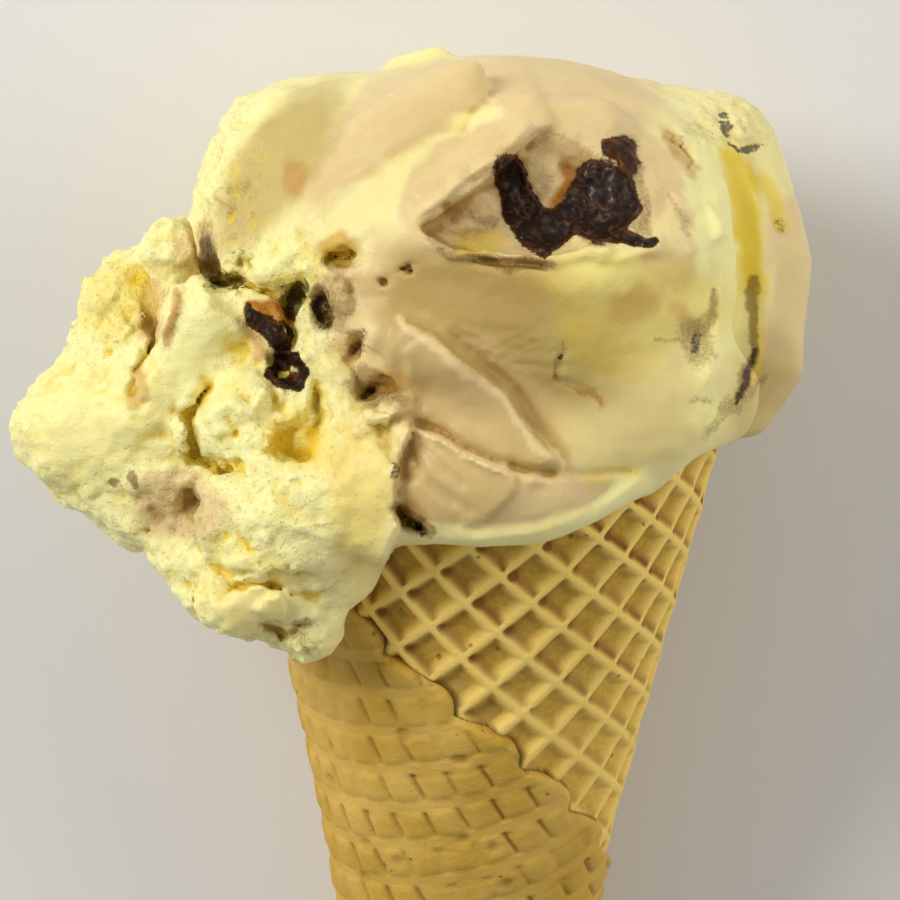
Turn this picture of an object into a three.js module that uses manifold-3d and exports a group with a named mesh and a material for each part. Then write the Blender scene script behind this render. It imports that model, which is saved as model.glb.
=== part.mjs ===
// A large rolled waffle cone with one big hand-packed scoop of lemon and toffee ice cream, which
// spills over the cone's left side and carries dark fudge in a hollow and in a crack.  The cone
// lies on its back on a level surface: the tip points to -Y, the scoop to +Y, the shown side up.
import * as THREE from 'three';
import { mergeVertices } from 'three/addons/utils/BufferGeometryUtils.js';
import { ImprovedNoise } from 'three/addons/math/ImprovedNoise.js';
import Module from 'manifold-3d';

const wasm = await Module();
wasm.setup();

// ---- Driving sizes, in millimetres and degrees ----
const MOUTH_RADIUS = 32.2;
const HALF_ANGLE = 11.5;
const WALL = 2.4;
const SHEET_STEP = 1.6; // one thickness of the rolled sheet, seen as a step at its outer edge
const WAFFLE_PITCH = 6.26;
const WAFFLE_DEPTH = 1.25;
const RIB_HALF_WIDTH = 1.3;
const WAFFLE_TURN = -25.2; // of the square pattern in the unrolled sheet
const WAFFLE_SHIFT = [0.28, 0.46]; // of the pattern from the apex, in squares
const SEAM_AT_FRONT = 123.6; // slant distance from the apex where the outer edge crosses the front
const SEAM_PER_DEGREE = 0.38; // slant millimetres that the edge climbs per degree to the left
const EDGE_LOBE = 1.6;
const EDGE_LOBE_PITCH = 8.3;
const TIP_ROUND = 3.6;
const SOLID_TIP = 32; // slant distance up to which the tip is solid
const CORE_WALL = 0.95; // plain lining under the pressed sheet
const SHEET_SEAT = [0.45, 0.8]; // sheet's underside off the bore, at its outer edge and inner end
const WAFFLE_START = 24; // slant distances between which the outside has its squares
const WAFFLE_END = 156;
const TUCKED_UNDER = 1.6; // how far the sheet's inner end runs on under its outer edge
const GAP = 0.32; // between neighbouring solids
const SHORTEST_EDGE = 0.02; // shorter ones, left by cuts, are closed up
const SAME_POINT = 1e-4; // points closer than this are one point
const SKIN_DETAIL = 15; // how finely the ice cream's skin is divided
const SCOOP_SOFTNESS = { big: 6, spill: 3, face: 2.5, rim: 7, carved: 2 }; // where lumps run together
const CRUMB_SIZE = 4.2;
const CRUMB_HEIGHT = 0.7;

// ---- How the pieces lie ----
const LEAN_BACK = 20; // cone axis against the plane of the scoop's face
const ROLL = 1.9; // scoop's face against the cone axis, seen from above
const LAY_TILT = -7.4; // scoop's face against the surface that the cone lies on
const CONE_SHIFT = 0.45; // cone axis to the right of the scoop frame's middle
const REST = [-4, 15.5, -34.3]; // middle of the flat spot under the scoop, from the mouth's middle

const rad = THREE.MathUtils.degToRad;
const SIN_HALF = Math.sin(rad(HALF_ANGLE));
const COS_HALF = Math.cos(rad(HALF_ANGLE));
const MOUTH_SLANT = MOUTH_RADIUS / SIN_HALF;
const APEX_DROP = MOUTH_SLANT * COS_HALF;
const TURN_ANGLE = 2 * Math.PI * SIN_HALF; // one turn of the cone in the unrolled sheet

// ---- Closed meshes and booleans ----

function welded(geometry) {
  const bare = geometry.clone();
  bare.deleteAttribute('normal');
  bare.deleteAttribute('uv');
  return mergeVertices(bare, SAME_POINT);
}

function toSolid(geometry) {
  const { attributes, index } = welded(geometry);
  const vertProperties = new Float32Array(attributes.position.array);
  const triVerts = new Uint32Array(index.array);
  return new wasm.Manifold(new wasm.Mesh({ numProp: 3, vertProperties, triVerts }));
}

function toGeometry(solid) {
  const mesh = solid.simplify(SHORTEST_EDGE).getMesh();
  const geometry = new THREE.BufferGeometry();
  const corners = new Float32Array(mesh.vertProperties);
  geometry.setAttribute('position', new THREE.BufferAttribute(corners, 3));
  geometry.setIndex(new THREE.BufferAttribute(new Uint32Array(mesh.triVerts), 1));
  return geometry;
}

function largestBody(solid) {
  const bodies = solid.decompose();
  return bodies.reduce((best, body) => (body.volume() > best.volume() ? body : best));
}

function indexedGeometry(vertices, triangles) {
  const geometry = new THREE.BufferGeometry();
  geometry.setAttribute('position', new THREE.Float32BufferAttribute(vertices.flat(), 3));
  geometry.setIndex(triangles.flat());
  return geometry;
}

// ---- Placing: the cone's own frame has its axis on +Y and its front on +Z ----

const toRest = new THREE.Matrix4().makeTranslation(-REST[0], -REST[1], -REST[2]);
const tilt = new THREE.Matrix4().makeRotationX(rad(LAY_TILT));
const shift = new THREE.Matrix4().makeTranslation(CONE_SHIFT, 0, 0);
const lean = new THREE.Matrix4().makeRotationX(rad(LEAN_BACK));
const roll = new THREE.Matrix4().makeRotationZ(rad(ROLL));
const conePlacing = toRest.clone().multiply(tilt).multiply(lean).multiply(shift);
const scoopPlacing = toRest.clone().multiply(tilt).multiply(roll);

function aboveFloor(solid) {
  const room = 600;
  const block = new THREE.BoxGeometry(room, room, room).translate(0, 0, room / 2);
  return solid.intersect(toSolid(block));
}

// A point of the cone at a slant distance, an angle to the right of the front, and a height off
// the cone's plain surface.
function onCone(slant, angle, height) {
  const radius = slant * SIN_HALF + height * COS_HALF;
  const along = slant * COS_HALF - height * SIN_HALF - APEX_DROP;
  return [radius * Math.sin(angle), along, radius * Math.cos(angle)];
}

// ---- Waffle cone ----

const seamAngle = (slant) => rad((SEAM_AT_FRONT - slant) / SEAM_PER_DEGREE);

// Part of a turn, leftwards from the sheet's outer edge, for a point of the unrolled sheet.
function turnPart(x, y) {
  const slant = Math.hypot(x, y);
  return (seamAngle(slant) * SIN_HALF - Math.atan2(x, y)) / TURN_ANGLE;
}

const sheetLevel = (part) => SHEET_STEP * (1 - part);

function wavyEdge(slant) {
  const wave = Math.abs(Math.sin((Math.PI * slant) / EDGE_LOBE_PITCH));
  return EDGE_LOBE * (1 - 2 * wave);
}

// The unrolled sheet's top: each square cell is a sunk floor with four sloping sides to its ribs.
// The field's +Y axis is rolled onto the cone's front; the sheet reaches leftwards from there.
function waffleField() {
  const vertices = [];
  const triangles = [];
  const known = new Map();
  const cosTurn = Math.cos(rad(WAFFLE_TURN));
  const sinTurn = Math.sin(rad(WAFFLE_TURN));
  const vertex = (column, row, height) => {
    const key = `${column.toFixed(3)},${row.toFixed(3)}`;
    if (!known.has(key)) {
      const across = (column + WAFFLE_SHIFT[0]) * WAFFLE_PITCH;
      const up = (row + WAFFLE_SHIFT[1]) * WAFFLE_PITCH;
      known.set(key, vertices.length);
      vertices.push([across * cosTurn + up * sinTurn, up * cosTurn - across * sinTurn, height]);
    }
    return known.get(key);
  };
  const inset = RIB_HALF_WIDTH / WAFFLE_PITCH;
  const floorPlace = (place, side) => place + inset + side * (1 - 2 * inset);
  const corners = [[0, 0], [1, 0], [1, 1], [0, 1]];
  const reach = Math.ceil(MOUTH_SLANT / WAFFLE_PITCH) + 1;
  const lowest = -3 * WAFFLE_PITCH;
  for (let column = -reach; column < reach; column++) {
    for (let row = -reach; row < reach; row++) {
      const rib = corners.map(([i, j]) => vertex(column + i, row + j, 0));
      if (vertices[rib[0]][1] < lowest) continue;
      const floor = corners.map(([i, j]) => (
        vertex(floorPlace(column, i), floorPlace(row, j), -WAFFLE_DEPTH)));
      for (let side = 0; side < 4; side++) {
        const next = (side + 1) % 4;
        triangles.push([rib[side], rib[next], floor[next]], [rib[side], floor[next], floor[side]]);
      }
      triangles.push([floor[0], floor[1], floor[2]], [floor[0], floor[2], floor[3]]);
    }
  }
  return { vertices, triangles };
}

// Keeps the part of the field where inside(x, y) is not negative, cutting the triangles it crosses.
function trimField(field, inside) {
  const snap = 0.15;
  const worth = field.vertices.map(([x, y]) => {
    const value = inside(x, y);
    return Math.abs(value) < snap ? 0 : value;
  });
  const vertices = field.vertices.slice();
  const cuts = new Map();
  const cut = (from, to) => {
    if (worth[from] === 0) return from;
    if (worth[to] === 0) return to;
    const [low, high] = from < to ? [from, to] : [to, from];
    const key = low * 1e6 + high;
    if (!cuts.has(key)) {
      const share = worth[low] / (worth[low] - worth[high]);
      const beyond = field.vertices[high];
      cuts.set(key, vertices.length);
      vertices.push(field.vertices[low].map((value, i) => value + share * (beyond[i] - value)));
    }
    return cuts.get(key);
  };
  const triangles = [];
  for (const triangle of field.triangles) {
    if (!triangle.some((index) => worth[index] > 0)) continue;
    const outline = [];
    triangle.forEach((index, corner) => {
      const next = triangle[(corner + 1) % 3];
      if (worth[index] >= 0) outline.push(index);
      if (worth[index] * worth[next] < 0) outline.push(cut(index, next));
    });
    for (let corner = 2; corner < outline.length; corner++) {
      triangles.push([outline[0], outline[corner - 1], outline[corner]]);
    }
  }
  return { vertices, triangles };
}

// Rolls a trimmed field up into a closed slab that reaches down into the cone's core.
function rollUp(field) {
  const place = ([x, y, height], isTop) => {
    const slant = Math.hypot(x, y);
    const angle = Math.atan2(x, y) / SIN_HALF;
    const part = turnPart(x, y);
    const underside = THREE.MathUtils.lerp(...SHEET_SEAT, part) - WALL;
    return onCone(slant, angle, isTop ? height + sheetLevel(part) : underside);
  };
  const count = field.vertices.length;
  const top = field.vertices.map((vertex) => place(vertex, true));
  const bottom = field.vertices.map((vertex) => place(vertex, false));
  const triangles = [];
  const edges = new Set(
    field.triangles.flatMap(([a, b, c]) => [`${a}_${b}`, `${b}_${c}`, `${c}_${a}`]));
  for (const [a, b, c] of field.triangles) {
    triangles.push([a, b, c], [count + a, count + c, count + b]);
    for (const [from, to] of [[a, b], [b, c], [c, a]]) {
      if (edges.has(`${to}_${from}`)) continue;
      if (from < to) triangles.push([to, from, count + to], [from, count + from, count + to]);
      else triangles.push([to, from, count + from], [to, count + from, count + to]);
    }
  }
  return toSolid(indexedGeometry([...top, ...bottom], triangles));
}

function waffleSheet() {
  const field = trimField(
    trimField(waffleField(), (x, y) => WAFFLE_END - Math.hypot(x, y)),
    (x, y) => Math.hypot(x, y) - WAFFLE_START);
  const arc = (x, y) => TURN_ANGLE * Math.hypot(x, y);
  const middleOf = (triangle) => [0, 1].map(
    (axis) => triangle.reduce((sum, index) => sum + field.vertices[index][axis] / 3, 0));
  const half = (wanted) => ({
    vertices: field.vertices,
    triangles: field.triangles.filter((triangle) => wanted(turnPart(...middleOf(triangle)))),
  });
  const outer = trimField(
    half((part) => part < 0.5),
    (x, y) => turnPart(x, y) * arc(x, y) - wavyEdge(Math.hypot(x, y)));
  const inner = trimField(
    half((part) => part >= 0.5),
    (x, y) => (1 - turnPart(x, y)) * arc(x, y) + TUCKED_UNDER);
  return rollUp(outer).add(rollUp(inner));
}

function turned(profile, segments) {
  return toSolid(new THREE.LatheGeometry(profile.map(([r, y]) => new THREE.Vector2(r, y)), segments));
}

// A point of a cone-shaped profile: radius and place along the axis.
function onProfile(slant, height) {
  const [, y, radius] = onCone(slant, 0, height);
  return [radius, y];
}

function coneTip() {
  const overlap = 1.5;
  const tangent = TIP_ROUND / Math.tan(rad(HALF_ANGLE));
  const [middleRadius, middle] = onProfile(tangent, -TIP_ROUND);
  const cap = [0, 20, 40, 60].map((angle) => [
    middleRadius + TIP_ROUND * Math.sin(rad(angle)),
    middle - TIP_ROUND * Math.cos(rad(angle)),
  ]);
  const plugTop = onProfile(SOLID_TIP, -WALL)[1];
  const profile = [
    ...cap,
    onProfile(tangent, 0),
    onProfile(WAFFLE_START + overlap, overlap / 3),
    onProfile(WAFFLE_START + overlap, CORE_WALL / 2 - WALL),
    [0, plugTop],
  ];
  return turned(profile, 16);
}

function coneCore() {
  const outside = CORE_WALL - WALL;
  const start = WAFFLE_START - 2;
  const profile = [
    onProfile(start, -WALL),
    onProfile(start, outside),
    onProfile(MOUTH_SLANT, outside),
    onProfile(MOUTH_SLANT, -WALL),
    onProfile(start, -WALL),
  ];
  return turned(profile, 36).add(coneTip());
}

function placed(solid, placing) {
  return toSolid(toGeometry(solid).applyMatrix4(placing));
}

function waffleCone() {
  return largestBody(aboveFloor(placed(coneCore().add(waffleSheet()), conePlacing)));
}

// ---- Scoop: soft lumps in the scoop's own frame, +X right, +Y up, +Z out of its shown face ----

const dome = { at: [2.5, 16, 4], size: [40, 30.5, 37.5] };

// How far out of the face plane the dome's front stands.
function domeFront(x, y) {
  const [dx, dy] = [(x - dome.at[0]) / dome.size[0], (y - dome.at[1]) / dome.size[1]];
  return dome.at[2] + dome.size[2] * Math.sqrt(Math.max(0.02, 1 - dx * dx - dy * dy));
}

const lump = (x, y, z, a, b, c, turn = 0) => ({ at: [x, y, z], size: [a, b, c], turn: rad(turn) });

// Lump in the dome's front, its middle at a depth below the dome's plain surface.
const faceLump = (x, y, depth, a, b, c, turn = 0) => lump(x, y, domeFront(x, y) - depth, a, b, c, turn);

const bigLumps = [
  lump(2.5, 16, 4, 40, 30.5, 37.5),
  lump(-22.5, 30.5, 3, 14.5, 13, 19), // upper left shoulder
  lump(31, 31, 1, 10, 10, 14), // upper right shoulder
  lump(-15, 13, -9.5, 28, 25, 25), // back, on the left
  lump(16, 14, -8.5, 26, 25, 25), // back, on the right
  lump(-39.5, -3, 9, 19.5, 18, 15), // spill over the left side
  lump(-25, 0, 13, 16, 17, 15), // bridge from the dome to the spill
];

const spillLumps = [
  lump(-52, -4, 13, 10.4, 9.5, 9), // smooth facet at the far left
  lump(-44.5, 13.5, 11, 8.4, 9, 9), // knobbly upper lobe
  lump(-36.5, -20, 14, 8, 7, 8), // apron between the spill and the drip
  lump(-25, -15, 22, 13, 12, 12), // bright crumbly mound
  lump(-30, -24, 18, 10, 7.5, 8), // drip under the mound
  lump(-22, -29, 19, 6, 5.5, 6), // lowest drip
  lump(-34, -27, 24, 4.5, 3.5, 3), // small petal
  lump(-33.5, -3, 24, 6.5, 7, 5.5), // crumbly knob
];

const faceLumps = [
  faceLump(17, 1, 9, 20, 13, 10), // belly
  faceLump(-2, 2, 5.5, 15, 8, 6, -38), // upper petal
  faceLump(-3, -12, 1, 10, 6, 6, -12), // lower petal
  faceLump(-13, 33, 4.5, 17, 5.5, 6, 40), // band across the cap
];

const path = (points, radius) => ({ points, radius });
const facePath = (places, depth, radius) => (
  path(places.map(([x, y]) => [x, y, domeFront(x, y) - depth]), radius));

const ridges = [
  path([[-33, 14, 25], [-46, -2, 20]], 4.5), // smooth diagonal ridge of the spill
  path([[36.5, 33, 6], [38, 19, 11], [37.8, 7, 12], [35.6, 1, 13]], 6.6), // right curtain
  path([[30.5, 30, 16], [31, 16, 22], [30, 3, 22]], 4.5), // leaf-like fold beside it
  facePath([[-9, 22], [0, 29], [6, 36], [15, 36]], 2.4, 4), // upper lip of the hollow
  facePath([[-7, 20], [4, 17.5], [15, 16.5], [25, 19]], 2.6, 4), // lower lip of the hollow
  facePath([[-13, 9], [-4, 5.5], [3, -1], [9, -7]], 0.6, 3), // edge of the upper petal
  path([[-11, 45, 6], [-6, 46, 6]], 1.4), // flakes at the crest
];

const grooves = [
  facePath([[-10, -3], [-4, -6], [5, -9]], -3, 2.2), // under the upper petal
  path([[35, 32, 20], [35.6, 20, 24], [35.5, 9, 24], [34.5, 2, 22], [31, -4, 22]], 2.6), // long fold
  path([[39, 28, 16], [41.5, 19, 17], [41, 12, 17]], 1.4), // short fold in the curtain
  path([[-39, 23, 23], [-31, 14, 30], [-22, 9, 33], [-15, 2, 37], [-11, -8, 38]], 3.2), // main crack
  path([[-23, -4, 31], [-26, -6, 30]], 4), // yellow hollow right of the knob
];

// Where the ice cream stops short of the cone's right side.
const undercut = lump(31.6, -13, 14, 10, 7, 24, 28);

const hollow = faceLump(8, 27, -1.5, 16, 8.5, 7.5, 6);

// Ice cream pressed out over the rim of the cone: a row of beads that thins towards the right.
function rimRoll() {
  const beads = [];
  const step = 15;
  const thick = { from: -75, to: 30, radius: 7.6 };
  const thin = 2.8;
  for (let angle = -180; angle < 180; angle += step) {
    const at = new THREE.Vector3(...onCone(MOUTH_SLANT, rad(angle), 0)).applyMatrix4(lean);
    const radius = angle > thick.from && angle < thick.to ? thick.radius : thin;
    beads.push({ at: at.toArray(), radius });
  }
  return beads;
}

const rimBeads = rimRoll();

function lumpDistance({ at, size, turn = 0 }, [x, y, z]) {
  const [dx, dy, dz] = [x - at[0], y - at[1], z - at[2]];
  const across = dx * Math.cos(turn) + dy * Math.sin(turn);
  const up = dy * Math.cos(turn) - dx * Math.sin(turn);
  const near = Math.hypot(across / size[0], up / size[1], dz / size[2]);
  const slope = Math.hypot(across / size[0] ** 2, up / size[1] ** 2, dz / size[2] ** 2);
  return slope < 1e-9 ? -Math.min(...size) : (near * (near - 1)) / slope;
}

function pathDistance({ points, radius }, [x, y, z]) {
  let nearest = Infinity;
  for (let i = 1; i < points.length; i++) {
    const [a, b] = [points[i - 1], points[i]];
    const run = b.map((value, axis) => value - a[axis]);
    const from = [x - a[0], y - a[1], z - a[2]];
    const dot = from[0] * run[0] + from[1] * run[1] + from[2] * run[2];
    const share = Math.min(1, Math.max(0, dot / (run[0] ** 2 + run[1] ** 2 + run[2] ** 2)));
    nearest = Math.min(nearest, Math.hypot(...from.map((value, axis) => value - share * run[axis])));
  }
  return nearest - radius;
}

function blend(a, b, softness) {
  const share = Math.max(softness - Math.abs(a - b), 0) / softness;
  return Math.min(a, b) - (share * share * softness) / 4;
}

const carve = (body, tool, softness) => -blend(-body, tool, softness);

const crumble = new ImprovedNoise();

function beadDistance({ at, radius }, point) {
  return Math.hypot(...at.map((value, axis) => point[axis] - value)) - radius;
}

// Distance from the ice cream's surface, less than nothing inside it.
function scoopDistance(point) {
  const soft = SCOOP_SOFTNESS;
  let distance = Infinity;
  for (const item of bigLumps) distance = blend(distance, lumpDistance(item, point), soft.big);
  for (const item of spillLumps) distance = blend(distance, lumpDistance(item, point), soft.spill);
  for (const item of faceLumps) distance = blend(distance, lumpDistance(item, point), soft.face);
  for (const item of ridges) distance = blend(distance, pathDistance(item, point), soft.face);
  for (const item of rimBeads) distance = blend(distance, beadDistance(item, point), soft.rim);
  distance = carve(distance, lumpDistance(hollow, point), soft.carved);
  distance = carve(distance, lumpDistance(undercut, point), soft.carved);
  for (const item of grooves) distance = carve(distance, pathDistance(item, point), soft.carved);
  const crumbly = THREE.MathUtils.smoothstep(-point[0], 14, 30);
  const crumb = crumble.noise(...point.map((value) => value / CRUMB_SIZE));
  return distance - crumbly * CRUMB_HEIGHT * crumb;
}

// How far out the surface lies in one direction, found by stepping in and then halving.
function surfaceReach(distance, middle, direction, reach) {
  const at = (radius) => middle.map((value, axis) => value + direction[axis] * radius);
  let outside = reach;
  let step = 1;
  while (outside > step && distance(at(outside - step)) > 0) outside -= step;
  for (let halving = 0; halving < 6; halving++) {
    step /= 2;
    if (distance(at(outside - step)) > 0) outside -= step;
  }
  return at(outside);
}

// A ball whose corners are pushed in from outside until they meet the surface.
function shrinkWrap(distance, middle, detail, reach) {
  const skin = welded(new THREE.IcosahedronGeometry(1, detail));
  const corners = skin.attributes.position;
  const corner = new THREE.Vector3();
  for (let i = 0; i < corners.count; i++) {
    corner.fromBufferAttribute(corners, i).normalize();
    corners.setXYZ(i, ...surfaceReach(distance, middle, corner.toArray(), reach));
  }
  return toSolid(skin);
}

// What fills the inside of the cone.
function stem() {
  const inside = -WALL - GAP;
  const bottom = SOLID_TIP + 6;
  const [topRadius, top] = onProfile(MOUTH_SLANT + 5, inside);
  const profile = [
    [0, onProfile(bottom, 0)[1]],
    onProfile(bottom, inside),
    onProfile(MOUTH_SLANT, inside),
    [topRadius - 4, top],
    [0, top],
  ];
  return turned(profile, 28);
}

// Height of the highest layer of the sheet near an angle on the cone.
function highestLayer(slant, angle) {
  const lobes = rad(16);
  const levels = [-lobes, 0, lobes].map((off) => {
    const part = (seamAngle(slant) - angle - off) / (2 * Math.PI);
    return sheetLevel(part - Math.floor(part));
  });
  return Math.max(...levels);
}

// Room for the cone's wall where the ice cream hangs over it.
function wallRoom() {
  const columns = 48;
  const clearance = 1.4 * GAP;
  const slants = [];
  for (let below = 60; below >= 0; below -= 6) slants.push(MOUTH_SLANT + GAP - below);
  const vertices = [];
  const ring = (slant, height) => {
    for (let column = 0; column < columns; column++) {
      const angle = (2 * Math.PI * column) / columns;
      vertices.push(onCone(slant, angle, height(slant, angle)));
    }
  };
  slants.forEach((slant) => ring(slant, (at, angle) => highestLayer(at, angle) + clearance));
  [...slants].reverse().forEach((slant) => ring(slant, () => -WALL - GAP));
  const rings = 2 * slants.length;
  const corner = (row, column) => (row % rings) * columns + (column % columns);
  const triangles = [];
  for (let row = 0; row < rings; row++) {
    for (let column = 0; column < columns; column++) {
      const [a, b] = [corner(row, column), corner(row, column + 1)];
      const [c, d] = [corner(row + 1, column + 1), corner(row + 1, column)];
      triangles.push([a, b, c], [a, c, d]);
    }
  }
  return toSolid(indexedGeometry(vertices, triangles));
}

// ---- Fudge: its own lumps, seated in the ice cream ----

const fudgePool = {
  lumps: [
    faceLump(5, 26, 4.4, 3.4, 6.5, 3.2, -8),
    faceLump(16.5, 26.5, 3.2, 5.8, 7.5, 3.4),
    faceLump(11, 21, 3.8, 7.5, 3, 2.8),
  ],
  middle: [11, 21.5, domeFront(11, 21.5) - 4],
  detail: 3,
};

const fudgeRibbon = {
  lumps: [lump(-27.5, 8.5, 27, 3.2, 3.2, 3.2), lump(-25.5, 3, 28, 2.6, 4.6, 3.2, -12)],
  middle: [-26.2, 5, 27.5],
  detail: 2,
};

function fudgeSolid({ lumps, middle, detail }, swelling = 0) {
  const softness = 2;
  const reach = 16;
  const distance = (point) => lumps.reduce(
    (nearest, item) => blend(nearest, lumpDistance(item, point), softness), Infinity);
  const skin = shrinkWrap((point) => distance(point) - swelling, middle, detail, reach);
  return placed(skin, scoopPlacing);
}

function iceCream() {
  const middle = [-8, 6, 3];
  const reach = 90;
  const mass = placed(shrinkWrap(scoopDistance, middle, SKIN_DETAIL, reach), scoopPlacing);
  return largestBody(aboveFloor(mass
    .subtract(placed(wallRoom(), conePlacing))
    .add(placed(stem(), conePlacing))
    .subtract(fudgeSolid(fudgePool, GAP))
    .subtract(fudgeSolid(fudgeRibbon, GAP))));
}

// ---- The whole ----

function named(name, solid, color, roughness) {
  const material = new THREE.MeshStandardMaterial({ color, roughness, metalness: 0 });
  const mesh = new THREE.Mesh(toGeometry(solid), material);
  mesh.name = name;
  return mesh;
}

const iceCreamCone = new THREE.Group();
iceCreamCone.add(
  named('waffle_cone', waffleCone(), 0xc79a45, 0.75),
  named('ice_cream', iceCream(), 0xf1e093, 0.5),
  named('fudge_pool', fudgeSolid(fudgePool), 0x2a1810, 0.2),
  named('fudge_ribbon', fudgeSolid(fudgeRibbon), 0x2a1810, 0.2),
);

export default iceCreamCone;
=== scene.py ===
import math

import bpy
import numpy as np
from mathutils import Matrix, Vector


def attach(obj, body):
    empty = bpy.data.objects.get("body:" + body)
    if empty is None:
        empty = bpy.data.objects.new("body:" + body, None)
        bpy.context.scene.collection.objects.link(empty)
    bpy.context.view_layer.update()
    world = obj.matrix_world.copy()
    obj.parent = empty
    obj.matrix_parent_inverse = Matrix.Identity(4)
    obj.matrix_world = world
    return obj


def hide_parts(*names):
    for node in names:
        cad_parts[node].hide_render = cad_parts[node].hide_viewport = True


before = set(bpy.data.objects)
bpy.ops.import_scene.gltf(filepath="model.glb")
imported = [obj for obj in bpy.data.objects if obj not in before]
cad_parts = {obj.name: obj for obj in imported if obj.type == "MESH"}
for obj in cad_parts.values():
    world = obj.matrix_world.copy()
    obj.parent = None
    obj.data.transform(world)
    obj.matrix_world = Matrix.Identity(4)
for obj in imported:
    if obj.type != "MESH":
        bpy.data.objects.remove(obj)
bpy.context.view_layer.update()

# ---- Driving sizes, in millimetres and degrees ----
MM = 0.001
MOUTH_RADIUS = 32.2
HALF_ANGLE = 11.5
SHEET_STEP = 1.6  # one thickness of the rolled sheet, seen as a step at its outer edge
SHEET_BACK = 1.95  # from the outside of the sheet to its inner face
CORE_DROP = 1.2  # from the outside of the sheet to the cone's inner body
WAFFLE_PITCH = 6.26
WAFFLE_DEPTH = 1.25
WAFFLE_TURN = -25.2
WAFFLE_SHIFT = (0.28, 0.46)  # of the pattern from the apex, in squares
FLAP_PITCH = (4.7, 5.9)  # the squares are softer and wider apart where the sheet laps over itself
FLAP_TURN = -18
FLAP_FROM = -120  # angle on the cone, to the left of the front, where the softer squares begin
SEAM_AT_FRONT = 123.6
SEAM_PER_DEGREE = 0.38
SCOOP_SHADOW_SPAN = (108, 150)  # from the apex, where the cone darkens towards the scoop with painted shade
EDGE_LOBE = 1.6
EDGE_LOBE_PITCH = 8.3
TIP_ROUND = 3.6
TUCKED_UNDER = 3.2
LEAN_BACK = 20
ROLL = 1.9
LAY_TILT = -7.4
CONE_SHIFT = 0.45
REST = (-4, 15.5, -34.3)

SIN_HALF = math.sin(math.radians(HALF_ANGLE))
COS_HALF = math.cos(math.radians(HALF_ANGLE))
MOUTH_SLANT = MOUTH_RADIUS / SIN_HALF
APEX_DROP = MOUTH_SLANT * COS_HALF
TURN_ANGLE = 2 * math.pi * SIN_HALF  # one turn of the cone in the unrolled sheet
TIP_SLANT = TIP_ROUND / math.tan(math.radians(HALF_ANGLE))  # from the apex to the rounded tip
SHEET_START = TIP_SLANT + 1

SCOOP_STEP = 0.5  # between the skin's points
FUDGE_STEP = 0.35
FUDGE_DEPTH = 2.2  # how far the fudge reaches into the ice cream

# ---- Placing: the cone's own frame has its axis on +Y and its front on +Z ----
to_rest = Matrix.Translation(-Vector(REST))
tilt = Matrix.Rotation(math.radians(LAY_TILT), 4, "X")
lean = Matrix.Rotation(math.radians(LEAN_BACK), 4, "X")
roll = Matrix.Rotation(math.radians(ROLL), 4, "Z")
cone_placing = to_rest @ tilt @ lean @ Matrix.Translation((CONE_SHIFT, 0, 0))
scoop_placing = to_rest @ tilt @ roll


def placed(points, placing):
    """Points of the cone's or the scoop's own frame, in the frame of the whole."""
    turn = np.array(placing.to_3x3())
    return points @ turn.T.astype(points.dtype) + np.array(placing.translation, points.dtype)


def on_floor(points, placing):
    """Placed points, with what would reach below the floor pressed flat on it."""
    seated = placed(points, placing)
    seated[:, 2] = np.maximum(seated[:, 2], 0)
    return seated


def turned(x, y, angle):
    """Places across and up in a plane that is turned by an angle."""
    return x * math.cos(angle) + y * math.sin(angle), y * math.cos(angle) - x * math.sin(angle)


# ---- Soft steps, noise and crumbs ----
dice = np.random.default_rng(23)
SLOPES = dice.normal(size=(256, 3)).astype(np.float32)
SLOPES /= np.linalg.norm(SLOPES, axis=1, keepdims=True)
MIDDLES = dice.uniform(size=(256, 3)).astype(np.float32)
SHUFFLE = dice.permutation(256)


def smooth(value, start, end):
    """0 up to start and 1 from end, with a soft step between them."""
    share = np.clip((value - start) / (end - start), 0, 1)
    return share * share * (3 - 2 * share)


def drawn(corner):
    """A number from 0 to 255 for each corner of the lattice."""
    pick = SHUFFLE[corner[:, 0] & 255]
    pick = SHUFFLE[(pick + corner[:, 1]) & 255]
    return SHUFFLE[(pick + corner[:, 2]) & 255]


def ripple(points, size, shift=0.0):
    """Soft noise from about -1 to 1 whose lumps have the given size."""
    spread = points / np.float32(size) + np.float32(shift)
    corner = np.floor(spread).astype(np.int64)
    part = spread - corner
    fade = part**3 * (part * (part * 6 - 15) + 10)
    total = np.zeros(len(points), np.float32)
    for far in np.ndindex(2, 2, 2):
        far = np.array(far)
        weight = np.where(far, fade, 1 - fade).prod(axis=1)
        total += weight * (SLOPES[drawn(corner + far)] * (part - far)).sum(axis=1)
    return 1.6 * total


def drift(points, size, *shifts):
    """Soft noise along as many ways as there are shifts."""
    return np.stack([ripple(points, size, shift) for shift in shifts], axis=1)


def crumbs(points, size):
    """Distance from the nearest of many scattered middles, as a part of their spacing."""
    spread = points / np.float32(size)
    corner = np.floor(spread).astype(np.int64)
    nearest = np.full(len(points), np.inf, np.float32)
    for near in np.ndindex(3, 3, 3):
        cell = corner + np.array(near) - 1
        away = cell + MIDDLES[drawn(cell)] - spread
        nearest = np.minimum(nearest, (away * away).sum(axis=1))
    return np.sqrt(nearest)


# ---- Forms of the ice cream, in the scoop's own frame: +X right, +Y up, +Z out of its face ----
BAND = 3  # how far from a surface its distance matters
DEEPEST_DENT = 5.5


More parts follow.
